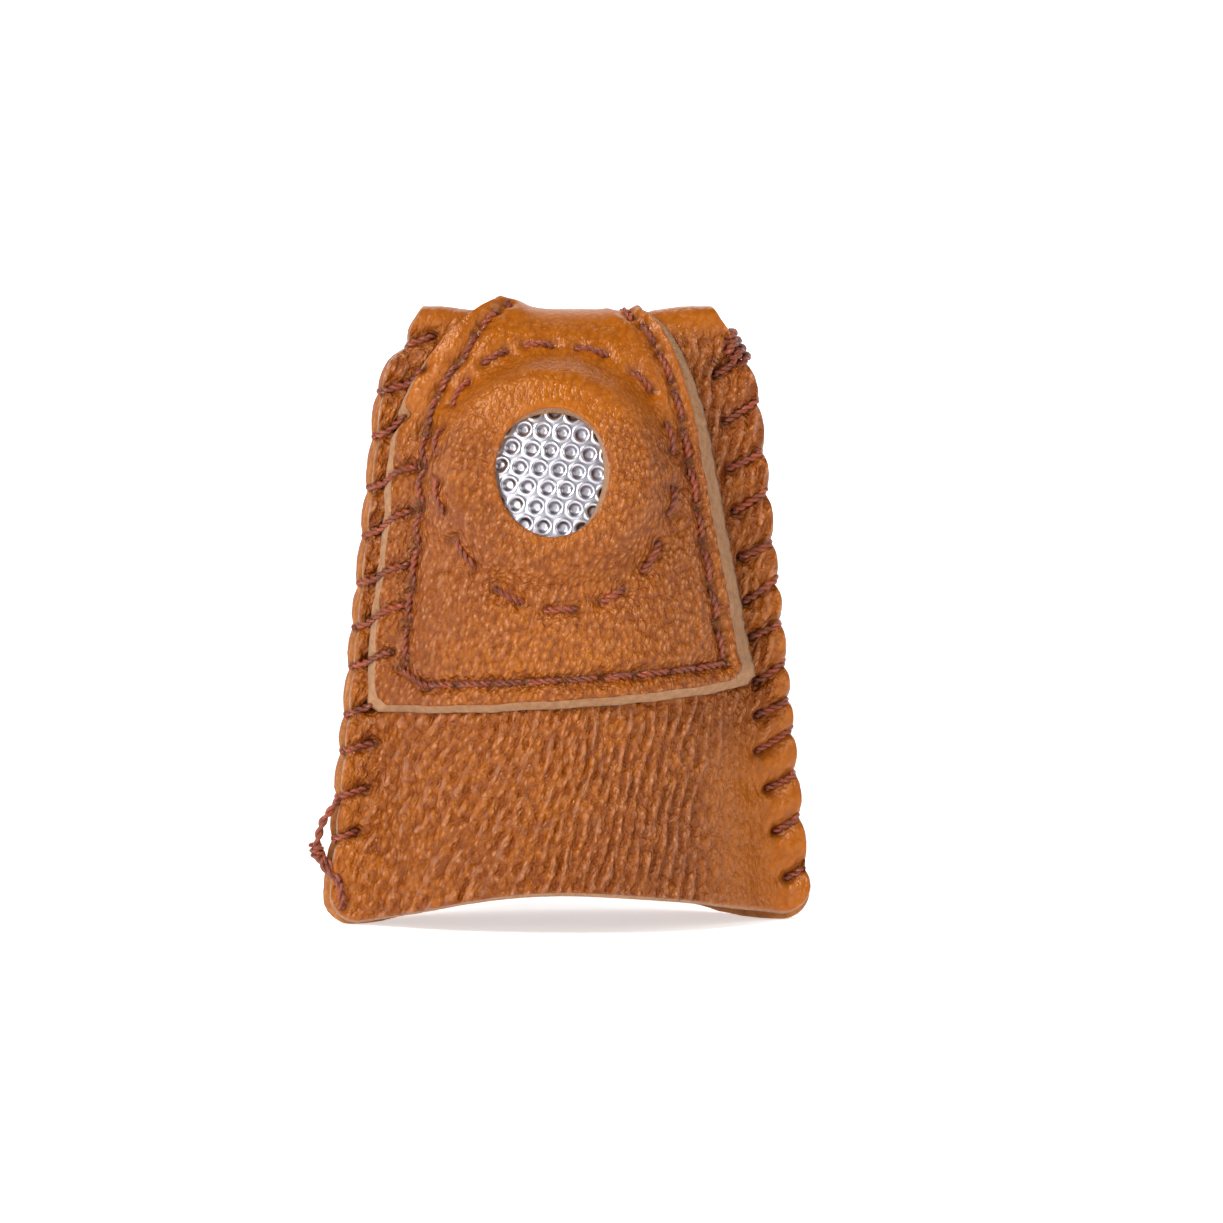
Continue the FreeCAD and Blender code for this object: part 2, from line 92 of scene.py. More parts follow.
THREAD_REACH, STRAND = 0.16, 0.19  # from the thread's middle to a strand's, and a strand's radius
TWIST = 1.1  # length of one full turn of the two strands
THREAD_SCALE, KNOT_SCALE = 0.74, 0.8
THREAD_STEP, PATH_STEP = 0.11, 0.12  # spacing of the points along a thread, and along the path it follows
STRAND_SIDES = 8
THREAD_REST, STITCH_SINK, STITCH_LEG = 0.1, 0.02, 1.1  # height over the leather, and depths a stitch goes in
# The slack thread at the lower left, as (x, z) places: its loop, and its tail along the edge to the mouth.
LOOSE_LOOP = (
    (-15.3, 8.7), (-15.75, 8.1), (-16.55, 7.1), (-16.9, 5.9),
    (-17.0, 5.0), (-16.6, 4.1), (-15.9, 3.4), (-15.4, 3.1),
)
LOOSE_TAIL = ((-16.9, 5.2), (-16.5, 4.6), (-15.9, 3.9), (-15.5, 3.1), (-15.35, 2.2), (-15.3, 1.2))
LOOSE_TWIST, LOOSE_THREAD_SCALE = 1.7, 0.85
# Windings: from and to as (x, z) places, half their width, half their thickness along Y, and their turns.
SLACK_KNOT, SLACK_KNOT_Y, SLACK_KNOT_SCALE = ((-17.0, 5.45), (-16.9, 4.75), 0.3, 0.3, 2), -0.75, 0.7
END_KNOT = ((10.75, 39.9), (11.95, 37.8), 0.4, 1.15, 4)
END_KNOT_FRONT, END_KNOT_FRONT_Y = ((10.75, 39.3), (11.4, 38.1), 0.4, 0.3, 2), -1.25
RING_STITCHES, RING_LENGTH = 14, 1.9
RING_CENTRE, RING_HALVES, RING_MEAN = (-1.15, 29.9), (8.05, 8.7), 8.5
EDGE_PITCH, EDGE_LENGTH = 2.6, 1.75
# From the patch's edges to its stitches: at its low end, below the tip, at the tip and at its back end.
MARGIN_LEFT, MARGIN_RIGHT = (2.2, 2.1, 0.8, 1.6), (2.1, 1.7, 1.3, 1.6)
MARGIN_LOW, LINE_CORNER = 1.8, 1.6
# Overcast stitches from the mouth's end up: height of the hole and its distance from the seam's edge.
WHIP_LEFT = (
    (6.3, 1.6), (9.2, 1.8), (12.3, 2.0), (14.8, 1.7), (18.1, 2.5), (21.2, 3.0),
    (23.8, 3.0), (27.3, 2.8), (30.2, 2.9), (33.6, 2.0), (36.6, 2.6), (39.4, 1.6),
)
WHIP_RIGHT = (
    (2.9, 1.4), (6.1, 1.8), (9.0, 2.0), (11.6, 2.4), (14.0, 2.2), (16.3, 2.0), (19.3, 2.1),
    (21.7, 2.3), (24.7, 2.2), (27.8, 2.3), (30.7, 2.4), (33.9, 2.3), (37.0, 2.3),
)
WHIPS = {-1: (WHIP_LEFT, 18.0), 1: (WHIP_RIGHT, 29.0)}  # each side's stitches and their slant in degrees
SCALLOPS = {-1: 0.38, 1: 0.6}  # how much of the whip's relief each side's outline follows
# Cut edges: how far their corners are rounded, and how they swell, as (share of the depth, swelling).
POUCH_ROUNDING, POUCH_RIMS = 0.22, ((0.18, 0.03), (0.5, 0.05), (0.82, 0.03))
PATCH_ROUNDING, PATCH_RIMS = 0.16, ((0.2, 0.03), (0.5, 0.04), (0.8, 0.03))


# ---- noise and curves


RANDOM = np.random.default_rng(11)
GRADIENTS = RANDOM.normal(size=(256, 3))
GRADIENTS /= np.linalg.norm(GRADIENTS, axis=1)[:, None]
ORDER = RANDOM.permutation(256)


def noise(x, y, z=0.0):
    """Smooth noise from about -1 to 1, with about one feature to each unit."""
    points = np.stack(np.broadcast_arrays(x, y, z), axis=-1).astype(float)
    base = np.floor(points).astype(int)
    part = points - base
    ease = part**3 * (part * (part * 6 - 15) + 10)
    total = np.zeros(points.shape[:-1])
    for corner in np.ndindex(2, 2, 2):
        cell = (base + corner) & 255
        index = ORDER[(ORDER[(ORDER[cell[..., 0]] + cell[..., 1]) & 255] + cell[..., 2]) & 255]
        weight = np.prod(np.where(np.array(corner) == 1, ease, 1 - ease), axis=-1)
        total += weight * ((part - corner) * GRADIENTS[index]).sum(-1)
    return total * 1.6


def smooth(low, high, value):
    """0 below low, 1 above high, and an even turn between; the other way round if low is the larger."""
    share = np.clip((value - low) / (high - low), 0, 1)
    return share * share * (3 - 2 * share)


def bell(distance, width):
    """1 at no distance, falling to nothing over about two widths."""
    return np.exp(-((distance / width) ** 2))


def soft_max(a, b, size):
    """The larger of two values, rounded where they are within size of each other."""
    close = np.clip(size - np.abs(a - b), 0, None) / size
    return np.maximum(a, b) + close * close * size / 4


def curve(points):
    """A smooth curve through (place, value) points, as a function of place."""
    at, value = (np.array(c, float) for c in zip(*sorted(points)))
    gap, slope = np.diff(at), np.diff(value) / np.diff(at)
    count = len(at)
    system, right = np.eye(count), np.zeros(count)
    for i in range(1, count - 1):
        system[i, i - 1 : i + 2] = gap[i - 1], 2 * (gap[i - 1] + gap[i]), gap[i]
        right[i] = 6 * (slope[i] - slope[i - 1])
    bend = np.linalg.solve(system, right)

    def value_at(x):
        x = np.asarray(x, float)
        i = np.clip(np.searchsorted(at, x) - 1, 0, count - 2)
        t = np.clip(x, at[0] - 1, at[-1] + 1) - at[i]
        first = slope[i] - gap[i] * (2 * bend[i] + bend[i + 1]) / 6
        return value[i] + t * (first + t * (bend[i] / 2 + t * (bend[i + 1] - bend[i]) / (6 * gap[i])))

    return value_at


def stations(length, finest, growth, step_at):
    """Places from 0 to length, an even number of steps: finest at both ends, growing to step_at within."""
    fine = np.linspace(0, length, 6001)
    rate = 1 / np.minimum(finest + growth * np.minimum(fine, length - fine), step_at(fine))
    total = np.concatenate([[0], np.cumsum((rate[1:] + rate[:-1]) / 2 * np.diff(fine))])
    steps = 2 * math.ceil(total[-1] / 2)
    return np.interp(np.linspace(0, total[-1], steps + 1), total, fine)


def unit(vectors):
    """The same directions with a length of 1."""
    return vectors / np.maximum(np.linalg.norm(vectors, axis=-1, keepdims=True), 1e-9)


# ---- the shape of the layers


_angles = np.linspace(0, 90, 2001)
_profile = np.stack([MOUTH_HALF_DEPTH * np.cos(np.radians(_angles)), HEIGHT * np.sin(np.radians(_angles))], 1)
_lengths = np.concatenate([[0], np.cumsum(np.linalg.norm(np.diff(_profile, axis=0), axis=1))])
HALF = float(_lengths[-1])  # along the middle line from a hem to the tip


def angle_of(s):
    """The angle of a place along the middle line: 0 front hem, 90 tip, 180 back hem."""
    s = np.asarray(s, float)
    front = np.interp(np.minimum(s, 2 * HALF - s), _lengths, _angles)
    return np.where(s <= HALF, front, 180 - front)


def s_of(z, back=False):
    """The place along the middle line that is at this height on the front, or on the back."""
    along = np.interp(np.degrees(np.arcsin(np.clip(np.asarray(z, float) / HEIGHT, 0, 1))), _angles, _lengths)
    return 2 * HALF - along if back else along


def z_of(s):
    return HEIGHT * np.sin(np.radians(angle_of(s)))


def half_width(z):
    return MOUTH_HALF_WIDTH + (TIP_HALF_WIDTH - MOUTH_HALF_WIDTH) * z / HEIGHT


def seam_x(z):
    """The seam's edge: the slanting side, and the cut-off corner above it."""
    foot = HEIGHT - CHAMFER_DROP
    corner = half_width(foot) + (TIP_EDGE_HALF - half_width(foot)) * (z - foot) / CHAMFER_DROP
    return -soft_max(-half_width(z), -corner - 0.12, 1.0)


def surface(x, s, offset=0.0):
    """Points of the layer that lies this far outside the pouch's outer face, before its fine relief."""
    angle = np.radians(angle_of(s))
    z = (HEIGHT + offset) * np.sin(angle)
    crown = (MOUTH_HALF_DEPTH + offset) * np.abs(np.cos(angle))
    edge = -soft_max(-(LEATHER + offset), -crown, 0.7)
    arch = half_width(z) - SEAM_FLANGE + OFFSET_SPREAD * offset
    full = soft_max(1 - np.abs(x / arch) ** ARCH_POWER, 0 * x, 0.2)
    full = full / (1 + 0.01 * full)
    depth = np.maximum(edge + (crown - edge) * full, SEAM_GAP / 2)
    hollow = TIP_HOLLOW * np.exp(-(((x - 0.6) / 3.9) ** 4)) - TIP_SHOULDER * smooth(4.2, 6.2, np.abs(x))
    z = z - hollow * smooth(0.86, 1.0, np.sin(angle))
    return np.stack(np.broadcast_arrays(x, np.where(s <= HALF, -depth, depth), z), axis=-1)


def normals(points):
    """Outward directions at a grid's points."""
    return unit(np.cross(np.gradient(points, axis=1), np.gradient(points, axis=0)))


def normal_at(x, s):
    """Outward direction of the pouch's outer face at one place."""
    x, s = np.asarray(x, float), np.asarray(s, float)
    across = surface(x + 0.05, s) - surface(x - 0.05, s)
    return unit(np.cross(across, surface(x, s + 0.1) - surface(x, s - 0.1)))


def coin_frame():
    """The coin's seat, and its directions across, up and outwards."""
    outward = normal_at(COIN_X, s_of(COIN_Z))
    across = unit(np.array([1.0, 0, 0]) - outward * outward[0])
    up = np.cross(outward, across)
    centre = surface(np.array(COIN_X), s_of(COIN_Z))
    turn = np.linspace(0, 2 * np.pi, 72, endpoint=False)
    highest = 0.0
    for share in (0.25, 0.5, 0.75, 1.0):
        rim = centre + COIN_RADIUS * share * (np.outer(np.cos(turn), across) + np.outer(np.sin(turn), up))
        below = surface(rim[:, 0], s_of(rim[:, 2]))
        highest = max(highest, float(((below - centre) @ outward).max()))
    return centre + outward * (highest + COIN_GAP), across, up, outward


SEAT, ACROSS, UP, OUTWARD = coin_frame()


# ---- meshes


def mesh_object(name, points, faces, materials, which=None, floats=None, uv=None):
    """A smooth-shaded piece from points in millimetres. which is each face's material."""
    mesh = bpy.data.meshes.new(name)
    mesh.from_pydata((np.asarray(points, float) * MM).tolist(), [], faces)
    if which is not None:
        mesh.polygons.foreach_set("material_index", np.asarray(which, np.int32))
    for key, values in (floats or {}).items():
        layer = mesh.attributes.new(key, "FLOAT", "POINT")
        layer.data.foreach_set("value", np.asarray(values, np.float32))
    if uv is not None:
        layer = mesh.uv_layers.new(name="along")
        loops = np.zeros(len(mesh.loops), np.int32)
        mesh.loops.foreach_get("vertex_index", loops)
        layer.data.foreach_set("uv", np.asarray(uv, np.float32)[loops].ravel())
    made = bmesh.new()
    made.from_mesh(mesh)
    bmesh.ops.recalc_face_normals(made, faces=made.faces)
    made.to_mesh(mesh)
    made.free()
    mesh.polygons.foreach_set("use_smooth", np.ones(len(mesh.polygons), bool))
    mesh.update()
    piece = bpy.data.objects.new(name, mesh)
    bpy.context.scene.collection.objects.link(piece)
    for material in materials:
        mesh.materials.append(material)
    return piece


def quads(number, hole=None):
    """The faces of a grid of point numbers, without those inside the hole's (rows, columns) ranges."""
    keep = np.ones((number.shape[0] - 1, number.shape[1] - 1), bool)
    if hole is not None:
        (r0, r1), (c0, c1) = hole
        keep[r0:r1, c0:c1] = False
    corners = [number[:-1, :-1], number[:-1, 1:], number[1:, 1:], number[1:, :-1]]
    return np.stack([c[keep] for c in corners], axis=1).tolist()


def border(grid):
    """What lies round the edge of a grid, in order."""
    return np.concatenate([grid[0, :-1], grid[:-1, -1], grid[-1, :0:-1], grid[:0:-1, 0]])


def shell(name, outer, inner, materials, floats, rims, hole=None):
    """A closed piece of leather: grain face, cut edges and flesh face. The flesh face has half the grid."""
    number = np.arange(outer.shape[0] * outer.shape[1]).reshape(outer.shape[:2])
    coarse = inner[::2, ::2]
    under = number.size + np.arange(coarse.shape[0] * coarse.shape[1]).reshape(coarse.shape[:2])
    points = [outer.reshape(-1, 3), coarse.reshape(-1, 3)]
    faces = quads(number, hole)
    below = quads(under, None if hole is None else [(a // 2, b // 2) for a, b in hole])
    which = [0] * len(faces) + [2] * len(below)
    faces += below
    top = under.max() + 1
    cuts = [((0, outer.shape[0] - 1), (0, outer.shape[1] - 1))]
    if hole is not None:
        cuts.append(hole)
    values = {key: [v.ravel(), v[::2, ::2].ravel()] for key, v in floats.items()}
    for ends in cuts:
        cut = tuple(slice(a, b + 1) for a, b in ends)
        half_cut = tuple(slice(a // 2, b // 2 + 1) for a, b in ends)
        last, first_at, last_at = border(number[cut]), border(outer[cut]), border(inner[cut])
        side = unit(np.cross(np.roll(first_at, -1, 0) - np.roll(first_at, 1, 0), first_at - last_at))
        rough = 0.05 * noise(*(first_at * 2.3).T) + 0.03 * noise(*(first_at * 6.1).T)
        for share, swell in rims:
            bulge = (swell + rough * np.sin(np.pi * share))[:, None]
            points.append(first_at + (last_at - first_at) * share + side * bulge)
            here = np.arange(top, top + len(last))
            top += len(last)
            for key, v in floats.items():
                values[key].append(border(v[cut]))
            faces += np.stack([last, np.roll(last, -1), np.roll(here, -1), here], axis=1).tolist()
            which += [1] * len(last)
            last = here
        low = border(under[half_cut])
        after, low_after = np.roll(last, -1), np.roll(low, -1)
        first, middle, final = last[::2], after[::2], after[1::2]
        for fan in ((first, middle, low), (middle, low_after, low), (middle, final, low_after)):
            faces += np.stack(fan, axis=1).tolist()
            which += [1] * len(low)
    floats = {key: np.concatenate(v) for key, v in values.items()}
    return mesh_object(name, np.concatenate(points), faces, materials, which, floats)


def finish_piece(piece, slot, *nodes):
    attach(piece, "root")
    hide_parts(*nodes)


# ---- stitch places


def spaced(line, pitch):
    """Middles and directions of stitches at an even pitch along a line of (x, s) places."""
    at = surface(line[:, 0], line[:, 1])
    lengths = np.concatenate([[0], np.cumsum(np.linalg.norm(np.diff(at, axis=0), axis=1))])
    count = max(1, round(lengths[-1] / pitch))
    middle = (np.arange(count) + 0.5) * lengths[-1] / count
    along = (middle, middle + 0.3, middle - 0.3)
    places, ahead, behind = (np.stack([np.interp(m, lengths, line[:, k]) for k in (0, 1)], 1) for m in along)
    return np.concatenate([places, unit(ahead - behind)], axis=1)


patch_left_at = curve([(s_of(z), x) for x, z in PATCH_LEFT])
patch_right_at = curve([(s_of(z), x) for x, z in PATCH_RIGHT])


def patch_edges(s):
    """The patch's left and right edges at places along the middle line."""
    back_share = np.clip((s - HALF) / (HALF - s_of(FLAP_END_HEIGHT + FLAP_CORNER)), 0, 1)
    over = smooth(HALF - TURN, HALF + TURN, s)
    front = np.minimum(s, HALF)
    top_left, top_right = PATCH_LEFT[0][0], PATCH_RIGHT[-1][0]
    back_left = top_left - (FLAP_HALF_WIDTH + top_left) * back_share
    back_right = top_right + (FLAP_HALF_WIDTH - top_right) * back_share
    left = (1 - over) * patch_left_at(front) + over * back_left
    right = (1 - over) * patch_right_at(front) + over * back_right
    return left, right


def patch_low_at(x):
    """How far along the middle line the patch's lower edge lies."""
    return s_of(np.interp(x, PATCH_LOW_X, PATCH_LOW))


def edge_line(side, margins, low, high):
    """The patch's stitch line near one side, from the front's lower end over the tip to the back."""
    s = np.linspace(low, high, 160)
    margin = np.interp(s, (low, HALF - 4, HALF, high), margins)[:, None]
    line = np.stack([patch_edges(s)[side], s], axis=1)
    along = unit(np.gradient(line, axis=0))
    leftwards = np.stack([-along[:, 1], along[:, 0]], axis=1)
    return line + (margin if side else -margin) * leftwards


def turned_corner(before, after, size):
    """Two lines that meet at a corner, as one line with the corner rounded."""
    before = before[np.linalg.norm(before - after[0], axis=1) > size]
    after = after[np.linalg.norm(after - before[-1], axis=1) > size * 1.4]
    t = np.linspace(0, 1, 12)[1:-1, None]
    crossing = np.array([before[-1][0], after[0][1]])
    bend = (1 - t) ** 2 * before[-1] + 2 * t * (1 - t) * crossing + t**2 * after[0]
    return np.concatenate([before, bend, after])


LINE_END = float(s_of(FLAP_END_HEIGHT, True)) - MARGIN_LOW
left_line = edge_line(0, MARGIN_LEFT, float(s_of(PATCH_LOW[0])) + MARGIN_LOW, LINE_END)
right_line = edge_line(1, MARGIN_RIGHT, float(s_of(PATCH_LOW[1])) + MARGIN_LOW, LINE_END)
low_line = np.linspace(left_line[0], right_line[0], 60)
end_line = np.linspace(left_line[-1], right_line[-1], 40)
left_and_low_line = turned_corner(left_line[::-1], low_line, LINE_CORNER)
edge_lines = (left_and_low_line, right_line, end_line)
edge_stitches = np.concatenate([spaced(line, EDGE_PITCH) for line in edge_lines])
front_stitches = edge_stitches[edge_stitches[:, 1] < HALF]
back_stitches = edge_stitches[edge_stitches[:, 1] >= HALF]


def ring_places():
    """The ring's stitches, bunched a little towards the upper left, as hand sewing is."""
    turn = 2 * np.pi * (np.arange(RING_STITCHES) + 0.5) / RING_STITCHES
    turn += math.radians(8) * bell(turn - 1.3, 0.9)
    (x0, z0), (wide, high) = RING_CENTRE, RING_HALVES
    direction = unit(np.stack([-wide * np.sin(turn), high * np.cos(turn)], axis=1))
    x, s = x0 + wide * np.cos(turn), s_of(z0 + high * np.sin(turn))
    return np.concatenate([np.stack([x, s], axis=1), direction], axis=1)


ring_stitches = ring_places()


def holes_of(stitches, length):
    """The two holes of each stitch, as (x, s) places."""
    step = stitches[:, 2:] * length / 2
    return np.concatenate([stitches[:, :2] + step, stitches[:, :2] - step])


def near(x, s, places):
    """Distance from each point to the nearest of some (x, s) places."""
    best = np.full(np.shape(x), 99.0)
    for px, ps in places:
        best = np.minimum(best, np.hypot(x - px, s - ps))
    return best


def whip_relief(x, s, side):
    """How the overcast seam shapes the leather near one side: (relief outwards, painted shade in its pinched
    grooves).
    """
    stitches, slant = WHIPS[side]
    heights, deep = np.array(stitches).T
    z = z_of(s)
    from_edge = seam_x(z) - side * x
    depth = np.interp(z, heights, deep)
    line_z = z - side * np.clip(depth - from_edge, -0.5, 3.5) * math.tan(math.radians(slant))
    places = np.concatenate([[heights[0] - 1.5], heights, [heights[-1] + 1.5]])
    index = np.interp(line_z, places, np.concatenate([[-0.5], np.arange(len(heights)), [len(heights) - 0.5]]))
    phase = np.abs(index - np.round(index))
    fade = smooth(depth + 1.6, depth * 0.55, from_edge)
    pinch = bell(phase, 0.16)
    relief = fade * (0.24 * np.sin(np.pi * phase) ** 1.4 - 0.32 * pinch)
    return relief, pinch * fade * np.where(from_edge < depth + 0.3, 1.0, 0.3)


def whip_holes(side):
    return [(side * (float(seam_x(z)) - deep), float(s_of(z))) for z, deep in WHIPS[side][0]]


# ---- pouch


def pouch_grid(columns, rows):
    """The (x, s) places of the pouch's grid, fitted to its hems, its corners and its scalloped sides."""
    u, s = np.meshgrid(columns, rows)
    front = s <= HALF
    foot = half_width(MOUTH_ROUND)
    hem_x = np.clip(u * foot, FRONT_HEM[0][0], FRONT_HEM[-1][0])
    hem = np.maximum(np.where(front, curve(FRONT_HEM)(hem_x), curve(BACK_HEM)(hem_x)), 0)
    past = np.clip((np.abs(u * foot) - HEM_FOOT_OUTER) / (foot - HEM_FOOT_OUTER), 0, 1)
    hem = hem + (MOUTH_ROUND - 0.2) * (1 - np.sqrt(1 - past**2))
    from_hem = np.where(front, s, 2 * HALF - s)
    from_hem = from_hem + hem * np.clip(1 - from_hem / 14.0, 0, 1) ** 2
    s = np.where(front, from_hem, 2 * HALF - from_hem)
    z = z_of(s)
    wide = seam_x(z)
    corner = smooth(36.5, 39.5, z)
    edge = {}
    for side, scallop in SCALLOPS.items():
        relief, _ = whip_relief(side * wide, s, side)
        edge[side] = wide + relief * (scallop + 1.2 * corner) - 0.1 * corner
    drawn_in = FRONT_EDGE_BACK * smooth(HALF + 1.5, HALF - 1.5, s) * smooth(38.5, 35.0, z)
    left, right = drawn_in - edge[-1], edge[1]
    return (left + right) / 2 + u * (right - left) / 2, s


def covered(x, s):
    """How fully the patch lies over a place, from 0 to 1."""
    left, right = patch_edges(s)
    from_ends = np.minimum(s - patch_low_at(x), s_of(FLAP_END_HEIGHT, True) - s)
    return smooth(-0.3, 0.9, np.minimum(np.minimum(x - left, right - x), from_ends))


def wrinkles(x, s, seed, lean, pitch, length, pebbly):
    """Short leaning ridges, broken up along their length and the more so where pebbly: from about -1 to 1."""
    turn = np.radians(lean)
    along = x * np.cos(turn) + s * np.sin(turn)
    across = -x * np.sin(turn) + s * np.cos(turn)
    bend = 0.5 * noise(x / 3.2, s / 3.2, seed + 5) + 0.12 * noise(x / 1.1, s / 1.1, seed + 6)
    ridge = np.cos(2 * np.pi * (across / pitch + bend))
    broken = 0.6 + 0.75 * noise(along / length, across / pitch * 0.8, seed)
    pebble = noise(along / (pitch * 0.9), across / (pitch * 0.7), seed + 9)
    return np.clip((1 - 0.5 * pebbly) * ridge * broken + (0.55 + 0.6 * pebbly) * pebble, -1.3, 1.3)


def pouch_relief(x, s):
    """The pouch's fine shape: how far it stands out, and its attributes: painted shade at stitch holes and
    grooves, ridge and calm.
    """
    z = z_of(s)
    front = s <= HALF
    cover = covered(x, s)
    free = 1 - cover
    relief, painted_shade = np.zeros_like(x), np.zeros_like(x)
    for side in WHIPS:
        bump, shade = whip_relief(x, s, side)
        holes = near(x, np.where(front, s, 2 * HALF - s), whip_holes(side))
        # The holes dent the leather and get painted shade, as do the pinched grooves between loops.
        relief += bump - 0.45 * bell(holes, 0.38)
        painted_shade += 0.5 * shade + bell(holes, 0.34)
    smoother = smooth(7.0, 11.5, x) * smooth(16.0, 10.0, z) * 0.75 + smooth(13.0, 15.0, np.abs(x)) * 0.5
    smoother = np.clip(smoother, 0, 0.8)
    flat = 1 - smooth(38.6, 40.2, z)
    strength = (1 - smoother) * (0.1 + 0.9 * flat) * np.where(front, 1.0, 0.4)
    lean = 64 + 14 * smooth(-8.0, 6.0, x)
    ridge = free * strength * wrinkles(x, s, 3.0, lean, 0.86, 1.6, 0.65 * smooth(-1.0, -11.0, x))
    pucker = smooth(8.5, 10.5, x) * smooth(34.0, 36.5, z) * smooth(40.6, 39.0, z) * np.where(front, 1.0, 0.3)
    waves = 0.16 * noise(x / 6.0, s / 6.0, 17.0) + 0.05 * noise(x / 1.7, s / 1.7, 23.0)
    relief += 0.17 * ridge + free * (0.22 * pucker * noise(x / 0.42, s / 2.2, 31.0) + flat * waves)
    relief = np.maximum(relief, -0.7) * (cover <= 0.99) - 0.12 * cover
    calm = np.maximum(smoother, 0.8 * smooth(38.8, 40.4, z))
    return relief, {"painted_shade": np.clip(painted_shade, 0, 1), "ridge": ridge, "calm": calm}


def rounded(from_edge, radius):
    """How far a cut edge's rounded corner has dropped, this far in from it."""
    share = np.clip(1 - from_edge / radius, 0, 1)
    return radius * (1 - np.sqrt(1 - share**2))


def to_ends(across, along):
    """How far each place of a grid is from the grid's nearest end."""
    return np.minimum(np.minimum(across, across[::-1])[None, :], np.minimum(along, along[::-1])[:, None])


def make_pouch(materials):
    def step_along(d):
        return np.where(d < s_of(17.5), 0.19, np.where(d < HALF + 2, 0.27, 0.34))

    across = stations(2 * MOUTH_HALF_WIDTH, 0.05, 0.22, lambda d: 0.2)
    rows = stations(2 * HALF, 0.05, 0.25, step_along)
    x, s = pouch_grid(across / MOUTH_HALF_WIDTH - 1, rows)
    relief, floats = pouch_relief(x, s)
    outer = surface(x, s)
    outer = outer + normals(outer) * (relief - rounded(to_ends(across, rows), POUCH_ROUNDING))[..., None]
    front = s <= HALF
    apart = np.where(front, np.minimum(outer[..., 1], -0.35), np.maximum(outer[..., 1], 0.35))
    outer[..., 1] = np.where(np.abs(s - HALF) < 3.0, outer[..., 1], apart)
    into_sight = np.where(front, HEM_BEVEL * np.exp(-rows / 0.8)[:, None], 0.0)
    inner = surface(x, s - into_sight, -LEATHER)
    floats["stain"] = smooth(HALF - 1, HALF + 1, s)
    return shell("pouch_leather", outer, inner, materials, floats, POUCH_RIMS)


# ---- patch


dome_height = curve(DOME_PROFILE)


def lift(x, s):
    """How far the patch's free edges stand off the pouch."""
    from_right, from_low = patch_edges(s)[1] - x, s - patch_low_at(x)
    right_edge = 0.42 * smooth(3.2, 0.0, from_right) * smooth(HALF - 0.5, HALF - 4.0, s)
    right_edge = right_edge * (0.75 + 0.35 * noise(s / 3.1, 2.0))
    low_edge = 0.14 * smooth(2.2, 0.0, from_low) * (0.7 + 0.5 * noise(x / 2.7, 7.0))
    corner = 0.3 * smooth(4.5, 0.0, np.hypot(from_right, from_low))
    return right_edge + low_edge + corner + 0.03


def patch_surface(x, s, level):
    """Points of the patch's grain face (level 1) or its flesh face (level 0), swollen over the coin."""
    base = surface(x, s, PATCH * level + lift(x, s))
    a, b, h = ((base - SEAT) @ d for d in (ACROSS, UP, OUTWARD))
    radius = np.hypot(a, b)
    past = np.maximum(radius - DOME_REACH, 0)
    dome = dome_height(np.minimum(radius, DOME_REACH)) - 2.0 * past - PATCH * (1 - level)
    raised = np.where(s < HALF, soft_max(h, dome, 0.9), h)
    return base + (raised - h)[..., None] * OUTWARD


def patch_grid(columns, rows, bevel):
    """The (x, s) places of the patch's grid with its cut edges drawn in by a share of their bevels."""
    p, q = np.meshgrid(columns, rows)
    bend = smooth(0.03, 0.0, p) + smooth(0.97, 1.0, p)
    wavy = 0.1 * noise(p * 9, 3.0) + 0.05 * noise(p * 25, 5.0)
    low = s_of(np.interp(p, (0, 1), PATCH_LOW)) + bevel * BEVEL_LOW + 0.5 * bend + wavy
    past = np.clip(1 - 2 * FLAP_HALF_WIDTH * np.minimum(p, 1 - p) / FLAP_CORNER, 0, 1)
    end = s_of(FLAP_END_HEIGHT, True) - FLAP_CORNER * (1 - np.sqrt(1 - past**2)) - bevel * BEVEL_LOW
    s = low + (end - low) * q
    z = z_of(s)
    left, right = patch_edges(s)
    over = smooth(HALF - 2.0, HALF + 1.0, s)
    left = left + bevel * (BEVEL_LEFT * (1 - over) + 0.25 * over) + 0.07 * noise(s / 1.3, 11.0)
    left = left + NOTCH_DEPTH * bell(z - NOTCH_HEIGHT, NOTCH_SIZE) * (1 - over)
    right = right - bevel * (BEVEL_RIGHT * (1 - 0.2 * smooth(30, 41, z)) * (1 - over) + 0.3 * over)
    right = right + 0.09 * noise(s / 1.1, 13.0) + 0.1 * noise(s / 0.4, 14.0) * (1 - bevel)
    return left + (right - left) * p, s


